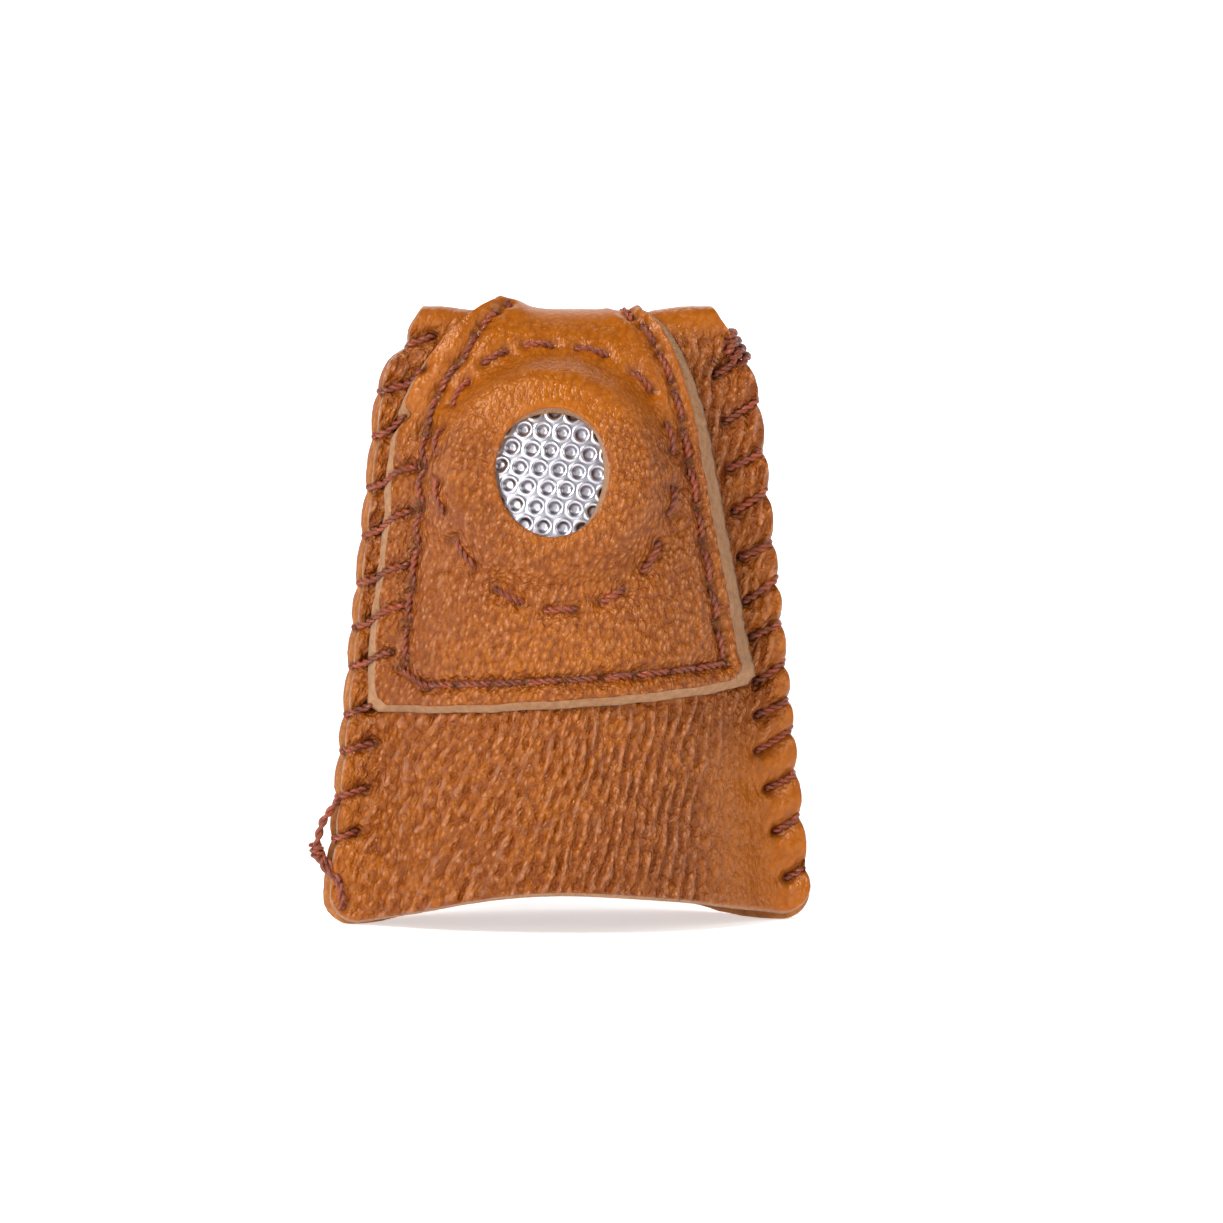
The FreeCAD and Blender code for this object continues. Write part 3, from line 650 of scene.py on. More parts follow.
def open_window(x, s, hole, wider):
    """Moves a grid's places so that the hole's block of cells opens into the oval window."""
    (r0, r1), (c0, c1) = hole
    row, column = (r0 + r1) // 2, (c0 + c1) // 2
    i, j = np.meshgrid(np.arange(x.shape[0]), np.arange(x.shape[1]), indexing="ij")
    ring = np.maximum(np.abs(i - row) * 2 / (r1 - r0), np.abs(j - column) * 2 / (c1 - c0))
    x0, s0 = WINDOW_X, float(s_of(WINDOW_Z))
    a, b = x - x[row, column], s - s[row, column]
    turn = np.arctan2(b, a)
    wide, high = WINDOW[0] + wider, WINDOW[1] + wider
    oval = 1 / np.hypot(np.cos(turn) / wide, np.sin(turn) / high)
    oval = oval + 0.05 * noise(np.cos(turn) * 2, np.sin(turn) * 2, 4.0)
    block = np.maximum(np.hypot(a, b), 1e-6) / np.maximum(ring, 1e-6)
    share = np.clip((ring - 1) / (WINDOW_SPREAD - 1), 0, 1) ** 1.25
    radius = oval + (WINDOW_SPREAD * block - oval) * share
    away = smooth(1.0, WINDOW_SPREAD, ring)
    moved_x = x0 + radius * np.cos(turn) - (x0 - x[row, column]) * away
    moved_s = s0 + radius * np.sin(turn) - (s0 - s[row, column]) * away
    inside = ring <= WINDOW_SPREAD
    rim = np.where(ring >= 1, radius - oval, 0.0)
    return np.where(inside, moved_x, x), np.where(inside, moved_s, s), np.where(inside, rim, 99.0), turn


def patch_relief(x, s, from_rim):
    """The patch's fine shape: how far it stands out, and its attributes: painted shade at stitch holes and
    grooves, ridge and calm.
    """
    front = s < HALF
    z = z_of(s)
    to_line = near(x, s, np.concatenate([line[::2] for line in edge_lines]))
    holes = near(x, s, holes_of(edge_stitches, EDGE_LENGTH + 0.3))
    relief = 0.08 * bell(to_line - 1.0, 0.45) - 0.3 * bell(to_line, 0.5) - 0.34 * bell(holes, 0.38)
    # Painted shade along the stitch line's groove and in its holes.
    painted_shade = 0.35 * bell(to_line, 0.35) + 0.9 * bell(holes, 0.3)
    a = (x - RING_CENTRE[0]) / RING_HALVES[0]
    b = (s - float(s_of(RING_CENTRE[1]))) / RING_HALVES[1]
    turn = np.arctan2(b, a)
    ring_at = np.where(front, (np.hypot(a, b) - 1) * RING_MEAN, 50.0)
    dash = 0.5 + 0.5 * np.cos(RING_STITCHES * turn - np.pi)
    relief -= 0.16 * bell(ring_at, 0.9) * (0.35 + 0.65 * dash)
    relief += 0.1 * bell(ring_at + 1.7, 0.8) * (1 - 0.6 * dash)
    relief += 0.1 * bell(ring_at - 1.6, 0.8) * (0.4 + 0.6 * dash)
    puckers = 0.07 * bell(ring_at, 2.0) * smooth(38.0, 33.0, z)
    relief += puckers * noise(turn * RING_MEAN / 0.7, ring_at / 2.0, 8.0)
    # The ring's holes: dents, with painted shade in them.
    holes = near(x, s, holes_of(ring_stitches, RING_LENGTH))
    relief -= 0.34 * bell(holes, 0.45)
    painted_shade += 0.7 * bell(holes, 0.3)
    # The left seam's loops: their grooves and holes, with painted shade in them.
    bump, shade = whip_relief(x, s, -1)
    holes = near(x, s, whip_holes(-1))
    relief += 0.8 * bump - 0.4 * bell(holes, 0.38) * front
    painted_shade += 0.4 * shade + bell(holes, 0.32) * front
    fold = smooth(38.8, 40.4, z)
    rough = (1 - 0.85 * fold) * smooth(0.3, 1.2, from_rim) * (1 - 0.75 * smooth(31.5, 35.0, z))
    pebbly = 0.55 + 0.45 * smooth(2.0, -7.0, x) * smooth(33.0, 27.0, z)
    ridge = rough * pebbly * wrinkles(x, s, 41.0, 72.0, 0.7, 1.3, 0.5)
    relief += 0.05 * (ridge + noise(x / 3.3, s / 3.3, 47.0) * smooth(0.5, 2.0, from_rim))
    over = smooth(2.6, 0.3, np.abs(s - HALF))
    relief += over * (0.3 * bell(x + 4.3, 1.0) - 0.25 * bell(x - 4.6, 1.6))
    calm = np.maximum(0.95 * fold, 0.68 * smooth(31.0, 34.5, z) + 0.3 * smooth(0.9, 0.2, from_rim))
    return np.maximum(relief, -0.45), {"painted_shade": np.clip(painted_shade, 0, 1), "ridge": 0.7 * ridge, "calm": calm}


def nearest_even(values, target):
    return 2 * int(round(float(np.argmin(np.abs(values - target))) / 2))


def make_patch(materials):
    low = float(s_of(PATCH_LOW[0]))
    length = float(s_of(FLAP_END_HEIGHT, True)) - low

    across = stations(PATCH_SPAN, 0.045, 0.22, lambda d: 0.17)
    along = stations(length, 0.05, 0.25, lambda d: np.where(d < HALF - low + 2, 0.19, 0.33))
    columns, rows = across / PATCH_SPAN, along / length
    x, s = patch_grid(columns, rows, 1.0)
    row = nearest_even(s[:, len(columns) // 2], float(s_of(WINDOW_Z)))
    column = nearest_even(x[row], WINDOW_X)
    hole = ((row - WINDOW_CELLS, row + WINDOW_CELLS), (column - WINDOW_CELLS, column + WINDOW_CELLS))
    x, s, from_rim, _ = open_window(x, s, hole, 0.0)
    under_x, under_s, under_rim, turn = open_window(*patch_grid(columns, rows, 0.0), hole, UNDERCUT)
    facing = np.clip(np.cos(turn + math.radians(35)), 0, 1) * bell(np.minimum(under_rim, 9), 1.0)
    under_x, under_s = under_x - LIP * facing * np.cos(turn), under_s - LIP * facing * np.sin(turn)
    inner = patch_surface(under_x, under_s, 0)
    outer = patch_surface(x, s, 1)
    outward = normals(outer)
    # The last steps slant too much for their own directions to be measured.
    outward[:, :3], outward[:, -3:] = outward[:, 3:4], outward[:, -4:-3]
    relief, floats = patch_relief(x, s, from_rim)
    end = np.minimum(to_ends(across, along), from_rim)
    outer = outer + outward * (relief - rounded(end, PATCH_ROUNDING))[..., None]
    return shell("patch_leather", outer, inner, materials, floats, PATCH_RIMS, hole)


# ---- coin


def coin_face(a, b):
    """The coin's height, and painted shade on its pits' upper left walls, at places across and up from its
    middle.
    """
    tilt = math.radians(PIT_TILT)
    along = a * math.cos(tilt) + b * math.sin(tilt)
    up = -a * math.sin(tilt) + b * math.cos(tilt)
    distance, from_low = np.full(a.shape, 9.0), np.full(a.shape, 9.0)
    for row in range(-5, 6):
        for column in range(-6, 7):
            stray_along, stray_up = math.sin(5 * row + 3 * column), math.sin(7 * row + 2 * column)
            pit_along = PIT_START[0] + PIT_PITCH * (column + 0.5 * (row % 2)) + PIT_STRAY * stray_along
            pit_up = PIT_START[1] + PIT_ROW * row + PIT_STRAY * stray_up
            if math.hypot(pit_along, pit_up) < 5.8:
                da, db = along - pit_along, up - pit_up
                distance = np.minimum(distance, np.hypot(da, db))
                from_low = np.minimum(from_low, np.hypot(da - 0.09, db + 0.09))
    pit = -PIT_DEPTH * smooth(PIT_RADIUS, 0.45 * PIT_RADIUS, distance)
    crown = COIN_CROWN * (1 - (np.hypot(a, b) / COIN_RADIUS) ** 2)
    ring = 0.05 * bell(distance - 0.55, 0.07)
    height = COIN_THICKNESS + crown + pit + ring + 0.012 * noise(a / 0.7, b / 0.7, 51.0)
    # The second value is painted shade: a crescent on each pit's upper left wall.
    return height, smooth(0.2, 0.42, from_low) * smooth(0.47, 0.4, distance)


def make_coin(material):
    radii = np.concatenate([np.linspace(0, 4.9, 71), np.linspace(5.1, COIN_RADIUS - 0.1, 8), [COIN_RADIUS]])
    turns = np.linspace(0, 2 * np.pi, 384, endpoint=False)
    r, t = np.meshgrid(radii, turns, indexing="ij")
    a, b = r * np.cos(t), r * np.sin(t)
    height, pit_shade = coin_face(a, b)
    height[-1] = COIN_THICKNESS - 0.1
    points = SEAT + a[..., None] * ACROSS + b[..., None] * UP + height[..., None] * OUTWARD
    foot = SEAT + a[-1][:, None] * ACROSS + b[-1][:, None] * UP
    rings = np.concatenate([points[1:].reshape(-1, 3), foot])
    number = np.arange(len(rings)).reshape(-1, len(turns))
    faces = quads(np.concatenate([number, number[:, :1]], axis=1))
    middle = np.full(len(turns), len(rings))
    faces += np.stack([number[0], np.roll(number[0], -1), middle], axis=1).tolist()
    faces.append(number[-1, ::-1].tolist())
    # The attribute pit carries that painted shade.
    pit = np.concatenate([pit_shade[1:].ravel(), np.zeros(len(turns) + 1)])
    points = np.concatenate([rings, points[0, :1]])
    return mesh_object("coin_disc", points, faces, [material], floats={"pit": pit})


# ---- threads


def tree_of(*pieces):
    """A search tree over some pieces' faces, in millimetres."""
    points, faces = [], []
    for piece in pieces:
        start = len(points)
        points += [v.co / MM for v in piece.data.vertices]
        faces += [[start + v for v in face.vertices] for face in piece.data.polygons]
    return BVHTree.FromPolygons(points, faces)


def grain_place(x, s):
    """The even grain face that shows at a place, on the patch where it lies and else on the pouch."""
    x, s = np.asarray(x, float), np.asarray(s, float)
    share = covered(x, s)[..., None]
    return share * patch_surface(x, s, 1) + (1 - share) * surface(x, s)


def grain_normal(x, s):
    across = grain_place(x + 0.15, s) - grain_place(x - 0.15, s)
    return unit(np.cross(across, grain_place(x, s + 0.15) - grain_place(x, s - 0.15)))


def on_leather(tree, x, s, above):
    """The point this far above the leather at a place, looked for along its outward direction."""
    outward = grain_normal(x, s) if covered(x, s) > 0.9 else normal_at(x, s)
    even = grain_place(x, s)
    hit, _, _, _ = tree.ray_cast(Vector(even + 2.5 * outward), Vector(-outward), 5)
    return (even if hit is None else np.array(hit)) + outward * above


def resample(path, step, closed=False):
    """A path with its points at an even spacing, and how far along it each of them is."""
    path = np.asarray(path, float)
    if closed:
        path = np.concatenate([path, path[:1]])
    along = np.concatenate([[0], np.cumsum(np.linalg.norm(np.diff(path, axis=0), axis=1))])
    count = max(4, round(along[-1] / step))
    at = np.linspace(0, along[-1], count + 1)[: count + (0 if closed else 1)]
    return np.stack([np.interp(at, along, path[:, k]) for k in range(3)], axis=1), at


def soften(path, rounds, closed=False):
    """Rounds a path's corners by averaging neighbours."""
    path, _ = resample(path, PATH_STEP, closed)
    for _ in range(rounds):
        new = (np.roll(path, 1, 0) + 2 * path + np.roll(path, -1, 0)) / 4
        if not closed:
            new[0], new[-1] = path[0], path[-1]
        path = new
    return path


def twisted(path, phase=0.0, scale=1.0, twist=TWIST, closed=False):
    """Two strands twisted round each other along a path: (points, faces, uv)."""
    path, along = resample(path, THREAD_STEP, closed)
    count = len(path)
    tangent = unit(np.roll(path, -1, 0) - np.roll(path, 1, 0) if closed else np.gradient(path, axis=0))
    side = unit(np.cross(tangent[0], [0.3, 0.2, 1.0]))
    sides = [side]
    for t in tangent[1:]:
        side = unit(side - t * (side @ t))
        sides.append(side)
    sides = np.array(sides)
    ups = np.cross(tangent, sides)
    if closed:
        back = sides[-1] - tangent[0] * (sides[-1] @ tangent[0])
        whole = 2 * np.pi * round((along[-1] + THREAD_STEP) / twist)
        turned = (whole - math.atan2(back @ ups[0], back @ sides[0])) * np.arange(count) / count
    else:
        turned = 2 * np.pi * along[-1] / twist * np.arange(count) / (count - 1)
    points, faces, uv = [], [], []
    ring = np.linspace(0, 2 * np.pi, STRAND_SIDES, endpoint=False)
    for k in (0, 1):
        theta = phase + np.pi * k + turned
        middle = path + scale * THREAD_REACH * (np.cos(theta)[:, None] * sides + np.sin(theta)[:, None] * ups)
        radius = scale * STRAND * (1 + 0.06 * noise(along * 1.7, 3.0 * k + phase, 2.0))[:, None]
        rings = [middle + radius * (math.cos(a) * sides + math.sin(a) * ups) for a in ring]
        points.append(np.stack(rings, axis=1).reshape(-1, 3))
        number = (k * count * STRAND_SIDES + np.arange(count * STRAND_SIDES)).reshape(count, STRAND_SIDES)
        base, following = (number, np.roll(number, -1, axis=0)) if closed else (number[:-1], number[1:])
        corners = [base, np.roll(base, -1, 1), np.roll(following, -1, 1), following]
        faces += np.stack(corners, axis=-1).reshape(-1, 4).tolist()
        if not closed:
            faces += [number[0][::-1].tolist(), number[-1].tolist()]
        around = (ring[None, :] - theta[:, None]) / (2 * np.pi)
        uv.append(np.stack([np.broadcast_to(along[:, None], around.shape), around], axis=-1).reshape(-1, 2))
    return np.concatenate(points), faces, np.concatenate(uv)


def threads(name, lengths, material, *nodes):
    """One piece from several lengths of twisted thread."""
    points, faces, uv, start = [], [], [], 0
    for p, f, t in lengths:
        points.append(p)
        uv.append(t)
        faces += [[start + v for v in face] for face in f]
        start += len(p)
    piece = mesh_object(name, np.concatenate(points), faces, [material], uv=np.concatenate(uv))
    finish_piece(piece, "thread", *nodes)


def stitch(tree, place, length, phase):
    """A run of thread along the leather, with a leg down through it at each end."""
    x, s, dx, ds = place
    shares = length * np.linspace(-0.5, 0.5, 9)
    run = np.array([on_leather(tree, x + dx * share, s + ds * share, THREAD_REST) for share in shares])
    outward = grain_normal(x, s)
    heights = (run - run[0]) @ outward
    level = np.linspace(heights[0], heights[-1], 9)
    taut = np.maximum(level + (1 - np.linspace(-1, 1, 9) ** 2) * 0.12, np.minimum(heights, level + 0.3))
    run = run + (taut - heights - STITCH_SINK)[:, None] * outward
    path = np.concatenate([[run[0] - outward * STITCH_LEG], run, [run[-1] - outward * STITCH_LEG]])
    return twisted(soften(path, 5), phase, THREAD_SCALE)


def whip_loop(tree, side, z, deep, slant, phase):
    """One overcast loop: down through a hole, and round the seam's edge on both faces."""
    x0 = side * (float(seam_x(z)) - deep)
    rise = math.tan(math.radians(slant))
    edge_z = z + side * rise * deep
    edges = []
    for y in (-0.5, 0.5):
        hit, _, _, _ = tree.ray_cast(Vector((side * 30, y, edge_z)), Vector((-side, 0, 0)), 30)
        edges.append(float(seam_x(edge_z)) if hit is None else side * hit[0])
    edge = max(edges) - 0.12
    reaches = (edge - side * x0) * np.linspace(0, 1, 10)
    runs = []
    for back in (False, True):
        places = [(x0 + side * d, float(s_of(z + side * rise * d, back))) for d in reaches]
        run = np.array([on_leather(tree, x, s, THREAD_REST) for x, s in places])
        way = np.sign(run[0, 1])
        for _ in range(6):
            across = (run[:-2] + run[2:]) / 2
            run[1:-1, 1] = way * np.maximum(np.abs(run[1:-1, 1]), np.abs(across[:, 1]) * 0.98)
        hole, over = run[0] * [1, 0.4, 1], [side * edge, 0.62 * way, edge_z]
        runs.append(np.concatenate([[hole], run, [over]]))
    path = np.concatenate([runs[0], runs[1][::-1]])
    return twisted(soften(path, 4, True), phase, THREAD_SCALE, closed=True)


def winding(start, end, wide, thick, turns):
    """A thread wound round the line between two (x, z) places, wide across it and thick along Y."""
    start, end = (np.array([x, 0.0, z]) for x, z in (start, end))
    along = unit(end - start)
    across = np.array([along[2], 0.0, -along[0]])
    share = np.linspace(0, 1, 40 * turns)
    angle = 2 * np.pi * turns * share
    uneven = 1 + 0.1 * noise(share * turns * 1.3, 61.0)
    middle = start + np.outer(share, end - start)
    round_it = wide * np.cos(angle)[:, None] * across + thick * np.sin(angle)[:, None] * np.array([0, 1.0, 0])
    return middle + uneven[:, None] * round_it


def laid(tree, points, above):
    """A path that lies on the leather through (x, z) points, or beside it where there is none."""
    path = []
    for x, z in points:
        over = abs(x) < seam_x(z) - 0.3
        path.append(on_leather(tree, x, float(s_of(z)), above) if over else np.array([x, SLACK_KNOT_Y, z]))
    return soften(path, 8)


# ---- materials


def linear(red, green, blue):
    """A colour from its usual 0 to 255 values."""
    def one(value):
        value /= 255
        return value / 12.92 if value <= 0.04045 else ((value + 0.055) / 1.055) ** 2.4

    return (one(red), one(green), one(blue), 1.0)


# The deeper caramel is both a random tone and painted shade in valleys; the paler, pinker one is painted
# highlight.
CARAMEL, DEEP_CARAMEL, HIGHLIGHT_CARAMEL = linear(177, 96, 9), linear(122, 52, 0), linear(214, 152, 118)
# Painted shade for stitch holes and grooves.
STITCH_SHADE = linear(62, 22, 10)
EDGE_LIGHT, EDGE_DEEP, EDGE_DYED = linear(192, 144, 102), linear(160, 110, 70), linear(160, 84, 34)
FLESH_LIGHT, FLESH_DEEP = linear(196, 132, 80), linear(160, 98, 50)
YARN_LIGHT, YARN_DEEP, YARN_STREAK = linear(150, 56, 24), linear(88, 27, 10), linear(206, 126, 96)
# The last metal colour is painted shade for the pits' upper left walls.
METAL_LIGHT, METAL_DEEP, METAL_PIT_SHADE = linear(226, 224, 230), linear(196, 192, 204), linear(84, 74, 80)


class Shader:
    """A material with one principled shader, and short ways of adding the nodes that feed it."""

    def __init__(self, name):
        self.material = bpy.data.materials.new(name)
        self.material.use_nodes = True
        self.tree = self.material.node_tree
        self.tree.nodes.clear()
        out = self.tree.nodes.new("ShaderNodeOutputMaterial")
        self.body = self.tree.nodes.new("ShaderNodeBsdfPrincipled")
        self.tree.links.new(self.body.outputs[0], out.inputs["Surface"])

    def feed(self, node, inputs):
        """Gives a node's inputs their constants, or their links from other nodes."""
        for key, value in inputs.items():
            if isinstance(value, bpy.types.NodeSocket):
                self.tree.links.new(value, node.inputs[key])
            else:
                node.inputs[key].default_value = value

    def finish(self, inputs):
        """Feeds the principled shader itself, and gives the material."""
        self.feed(self.body, inputs)
        return self.material

    def node(self, kind, inputs, output=0, **settings):
        node = self.tree.nodes.new("ShaderNode" + kind)
        for key, value in settings.items():
            setattr(node, key, value)
        self.feed(node, inputs)
        return node.outputs[output]

    def place(self):
        return self.node("TexCoord", {}, "Object")

    def attribute(self, name):
        return self.node("Attribute", {}, "Fac", attribute_name=name)

    def noise(self, place, scale, detail, output="Fac", **more):
        return self.node("TexNoise", {"Vector": place, "Scale": scale, "Detail": detail, **more}, output)

    def cells(self, place, scale, smoothness):
        inputs = {"Vector": place, "Scale": scale, "Smoothness": smoothness}
        return self.node("TexVoronoi", inputs, "Distance", feature="SMOOTH_F1")

    def spread(self, value, low, high, to_low=0.0, to_high=1.0):
        """Stretches the range from low to high over another range, and stops at its ends."""
        ranges = {"From Min": low, "From Max": high, "To Min": to_low, "To Max": to_high}
        return self.node("MapRange", {"Value": value, **ranges})

    def times(self, a, b, plus=0.0):
        return self.node("Math", {0: a, 1: b, 2: plus}, operation="MULTIPLY_ADD")

    def mix(self, share, a, b):
        return self.node("Mix", {0: share, 6: a, 7: b}, 2, data_type="RGBA")

    def bump(self, height, strength, distance):
        return self.node("Bump", {"Height": height, "Strength": strength, "Distance": distance})


def leather(name, grain, lean, relief):
    """Semi-gloss grain leather: leaning pebbles of two sizes, painted shade darkening their valleys, painted
    pinkish highlights on their crests and on the ridges, and painted shade at its stitches. The attributes
    for painted shade, ridge and calm come from the shape."""
    look = Shader(name)
    place = look.place()
    turned = {"Vector": place, "Rotation": (0.0, math.radians(lean), 0.0), "Scale": (1.0, 1.0, 1.6)}
    grain_way = look.node("Mapping", turned, vector_type="TEXTURE")
    warp = look.noise(place, 900.0, 2.0, "Color")
    bent = look.node("VectorMath", {0: warp, 1: (0.0003, 0.0003, 0.0003)}, operation="MULTIPLY")
    bent = look.node("VectorMath", {0: grain_way, 1: bent}, operation="ADD")
    cells, fine = look.cells(bent, grain, 0.15), look.cells(bent, grain * 2.3, 0.2)
    pores = look.noise(place, 6500.0, 3.0)
    patchy = look.noise(place, 260.0, 4.0, Roughness=0.6)
    wide = look.noise(place, 75.0, 2.0)
    painted_shade, ridge, calm = (look.attribute(key) for key in ("painted_shade", "ridge", "calm"))
    lively = look.times(calm, -0.95, 1.0)
    height = look.times(pores, 0.35, look.times(fine, -0.4, look.times(cells, -1.0)))
    tone = look.times(patchy, 0.9, look.times(wide, 1.1, -0.55))
    # Painted shade darkens the pebbles' valleys; painted highlight makes their crests paler and pinker.
    valley = look.spread(cells, 0.42, 0.75, 0.0, 0.85)
    crest = look.spread(cells, 0.34, 0.12, 0.0, 0.85)
    colour = look.mix(tone, CARAMEL, DEEP_CARAMEL)
    colour = look.mix(valley, colour, DEEP_CARAMEL)
    colour = look.mix(look.times(look.times(crest, patchy), lively), colour, HIGHLIGHT_CARAMEL)
    # Painted shade in the wrinkles' hollows, and painted highlight on their ridges.
    colour = look.mix(look.spread(ridge, 0.0, -0.9, 0.0, 0.85), colour, DEEP_CARAMEL)
    colour = look.mix(look.spread(ridge, 0.2, 1.1, 0.0, 0.42), colour, HIGHLIGHT_CARAMEL)
    colour = look.mix(look.times(calm, 0.6), colour, CARAMEL)
    # Painted shade at the stitch holes and grooves.
    colour = look.mix(look.times(painted_shade, 0.85), colour, STITCH_SHADE)
    return look.finish({
        "Base Color": colour,
        "Roughness": look.times(calm, 0.14, look.spread(patchy, 0.3, 0.7, 0.14, 0.31)),
        "Specular IOR Level": 0.6,
        "Specular Tint": (1.0, 0.7, 0.48, 1.0),
        "Normal": look.bump(look.times(height, lively), 1.0, relief),
    })


def suede(name, light, deep, grain, stain=None):
    """Cut edges and flesh faces: fibrous and matt. The attribute stain marks where dye has soaked in."""
    look = Shader(name)
    place = look.place()
    coarse = look.noise(place, grain, 5.0, Roughness=0.7)
    fibre = look.noise(place, grain * 6, 3.0)
    colour = look.mix(look.spread(coarse, 0.35, 0.68), light, deep)
    if stain is not None:
        colour = look.mix(look.times(look.attribute("stain"), 0.85), colour, stain)
    return look.finish({
        "Base Color": colour,
        "Roughness": 0.9,
        "Specular IOR Level": 0.15,
        "Sheen Weight": 0.15,
        "Normal": look.bump(look.times(fibre, 0.5, coarse), 1.0, 0.0002),
    })


def yarn(name):
    """Waxed two-ply thread: fibres wind along each strand."""
    look = Shader(name)
    uv = look.node("UVMap", {}, uv_map="along")
    along, around = (look.node("SeparateXYZ", {0: uv}, k) for k in (0, 1))
    wound = look.times(along, 1.6, look.times(around, 7.0))
    fibre = look.node("Math", {0: look.times(wound, 2 * math.pi)}, operation="SINE")
    place = look.place()
    fuzz = look.noise(place, 5200.0, 3.0)
    colour = look.mix(look.spread(look.noise(place, 900.0, 2.0), 0.35, 0.65), YARN_LIGHT, YARN_DEEP)
    streak = look.times(fibre, 0.22, look.times(fuzz, 0.28))
    return look.finish({
        "Base Color": look.mix(streak, colour, YARN_STREAK),
        "Roughness": 0.34,
        "Specular IOR Level": 0.8,
        "Specular Tint": (1.0, 0.76, 0.62, 1.0),
        "Sheen Weight": 0.05,
        "Normal": look.bump(look.times(fuzz, 0.8, look.times(fibre, 0.35)), 0.8, 0.00004),
    })


def silver(name):
    """Bright stamped metal: fine random scratches, and painted shade along the pits' upper left walls."""
    look = Shader(name)
    place = look.place()
    blotch = look.noise(place, 700.0, 4.0)
    colour = look.mix(look.spread(blotch, 0.3, 0.7), METAL_LIGHT, METAL_DEEP)
    return look.finish({
        # Painted shade on the pits' upper left walls.
        "Base Color": look.mix(look.times(look.attribute("pit"), 0.88), colour, METAL_PIT_SHADE),
        "Metallic": 1.0,
        "Roughness": look.spread(blotch, 0.3, 0.7, 0.3, 0.42),
        "Normal": look.bump(look.noise(place, 9000.0, 4.0, Distortion=1.2), 0.4, 0.00001),
    })


def paper(name, glow):
    """Plain white paper that glows a little of its own."""
    return Shader(name).finish({
        "Base Color": (0.9, 0.9, 0.9, 1),
        "Roughness": 0.9,
        "Specular IOR Level": 0.0,
        "Emission Color": (1, 1, 1, 1),
        "Emission Strength": glow,
    })


# ---- the pieces

flesh_side = suede("flesh_side", FLESH_LIGHT, FLESH_DEEP, 900.0)
dyed_edge = suede("dyed_edge", EDGE_LIGHT, EDGE_DEEP, 2200.0, EDGE_DYED)
pouch = make_pouch([leather("pouch_grain", grain=2400.0, lean=23.0, relief=0.00031), dyed_edge, flesh_side])
finish_piece(pouch, "pouch_leather", "pouch")
cut_edge = suede("cut_edge", EDGE_LIGHT, EDGE_DEEP, 2200.0)
patch = make_patch([leather("patch_grain", grain=3000.0, lean=18.0, relief=0.0002), cut_edge, flesh_side])
finish_piece(patch, "patch_leather", "tip_patch")
coin = make_coin(silver("stamped_silver"))
finish_piece(coin, "coin_metal", "coin")

skin = tree_of(pouch, patch)
waxed_thread = yarn("waxed_thread")
for name, places, length, node in (
    ("ring_thread", ring_stitches, RING_LENGTH, "coin_ring_stitches"),
    ("patch_edge_thread", front_stitches, EDGE_LENGTH, "patch_edge_stitches"),
    ("back_flap_thread", back_stitches, EDGE_LENGTH, "back_flap_stitches"),
):
    made = []
    for i, place in enumerate(places):
        eased = length * (1 + 0.14 * math.sin(3.7 * i + 1))
        made.append(stitch(skin, place, eased, 1.7 * i))
    threads(name, made, waxed_thread, node)

for name, side, node in (
    ("left_seam_thread", -1, "left_whip_stitches"),
    ("right_seam_thread", 1, "right_whip_stitches"),
):
    stitches, slant = WHIPS[side]
    made = []
    for i, (z, deep) in enumerate(stitches):
        lean = slant * (1 + 0.2 * math.sin(2.9 * i))
        made.append(whip_loop(skin, side, z, deep, lean, 2.1 * i))
    threads(name, made, waxed_thread, node)

threads("slack_loop_thread", [
    twisted(laid(skin, LOOSE_LOOP, 0.15), 0.5, LOOSE_THREAD_SCALE, LOOSE_TWIST),
    twisted(laid(skin, LOOSE_TAIL, 0.12), 0.5, LOOSE_THREAD_SCALE, LOOSE_TWIST),
    twisted(winding(*SLACK_KNOT) + [0, SLACK_KNOT_Y, 0], scale=SLACK_KNOT_SCALE),
], waxed_thread, "left_slack_loop")
threads("end_knot_thread", [
    twisted(winding(*END_KNOT), scale=KNOT_SCALE),
    twisted(winding(*END_KNOT_FRONT) + [0, END_KNOT_FRONT_Y, 0], 1.0, KNOT_SCALE),
], waxed_thread, "right_end_knot")


# ---- stage, light and camera

FLOOR_GLOW, BACKDROP_GLOW = 0.56, 1.0
LIGHTS = (
    # name, place, width and height, power
    ("key", (-0.38, -0.34, 0.44), (0.16, 0.16), 3.05),
    ("window", (-0.3, -0.52, 0.2), (0.2, 0.17), 1.0),
    ("fill", (0.48, -0.3, 0.34), (0.34, 0.34), 1.3),
    ("rim", (0.1, 0.35, 0.55), (0.5, 0.3), 0.4),
)
LIT_PLACE = Vector((0, 0, 0.02))
AZIMUTH, ELEVATION, DISTANCE = math.radians(-5.5), math.radians(3.5), 0.344
AIM = Vector((0.003, 0.0, 0.021))

scene = bpy.context.scene


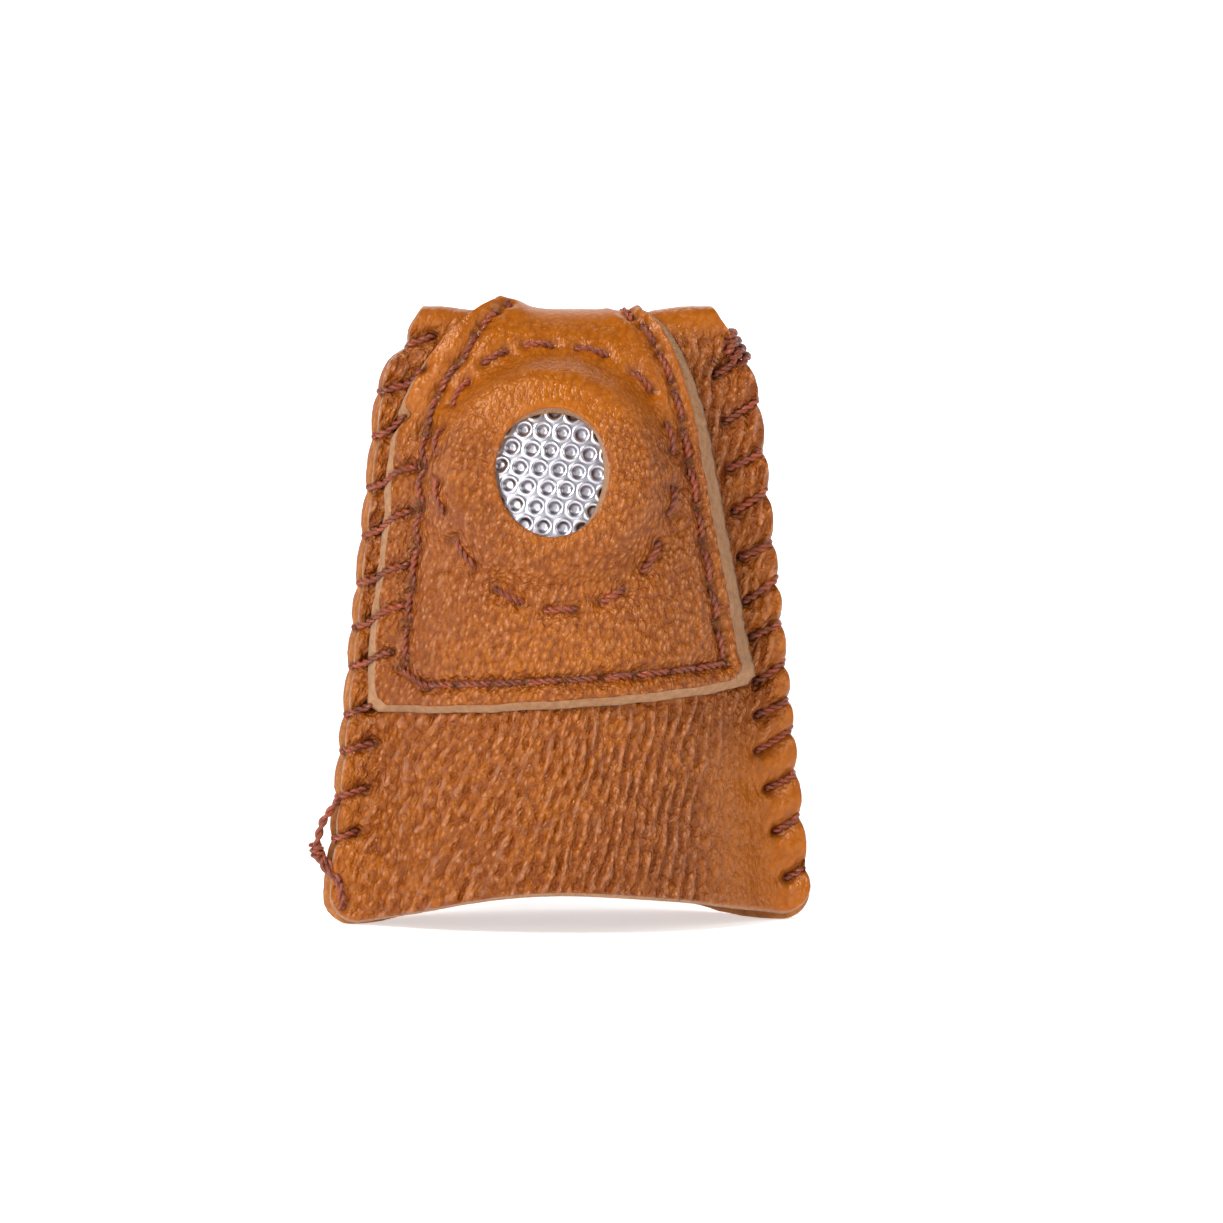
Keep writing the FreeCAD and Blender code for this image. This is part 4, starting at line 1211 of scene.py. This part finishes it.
def area_light(name, place, size, power):
    data = bpy.data.lights.new(name, "AREA")
    data.shape = "RECTANGLE"
    data.size, data.size_y = size
    data.energy = power
    light = bpy.data.objects.new(name, data)
    light.location = place
    light.rotation_euler = (LIT_PLACE - Vector(place)).to_track_quat("-Z", "Y").to_euler()
    scene.collection.objects.link(light)


def make_stage():
    """A pale floor that turns up into a backdrop, in metres."""
    depth, bend, high = 0.5, 0.3, 1.2
    arc = [(depth + bend * math.sin(a), bend - bend * math.cos(a)) for a in np.linspace(0, math.pi / 2, 17)]
    line = [(-1.2, 0.0)] + arc + [(depth + bend, high)]
    points = [(x, y, z) for y, z in line for x in (-1.5, 1.5)]
    faces = [(2 * i, 2 * i + 1, 2 * i + 3, 2 * i + 2) for i in range(len(line) - 1)]
    mesh = bpy.data.meshes.new("floor")
    mesh.from_pydata(points, [], faces)
    mesh.polygons.foreach_set("use_smooth", np.ones(len(faces), bool))
    floor = bpy.data.objects.new("floor", mesh)
    mesh.materials.append(paper("floor_paper", FLOOR_GLOW))
    mesh.materials.append(paper("backdrop_paper", BACKDROP_GLOW))
    mesh.polygons.foreach_set("material_index", [0] + [1] * (len(faces) - 1))
    scene.collection.objects.link(floor)


make_stage()
world = bpy.data.worlds.new("soft_room")
world.use_nodes = True
world.node_tree.nodes["Background"].inputs[0].default_value = (1, 1, 1, 1)
world.node_tree.nodes["Background"].inputs[1].default_value = 0.1
scene.world = world
for light in LIGHTS:
    area_light(*light)

scene.view_settings.view_transform = "Standard"
scene.view_settings.look = "None"
scene.view_settings.exposure = 0.0
scene.view_settings.gamma = 1.0

level = math.cos(ELEVATION)
back = Vector((math.sin(AZIMUTH) * level, -math.cos(AZIMUTH) * level, math.sin(ELEVATION)))
camera = bpy.data.objects.new("camera", bpy.data.cameras.new("camera"))
camera.data.lens = 150
camera.data.sensor_width = 36
camera.data.clip_start, camera.data.clip_end = 0.01, 10
camera.location = AIM + back * DISTANCE
camera.rotation_euler = (-back).to_track_quat("-Z", "Y").to_euler()
scene.collection.objects.link(camera)
scene.camera = camera

bpy.context.view_layer.update()
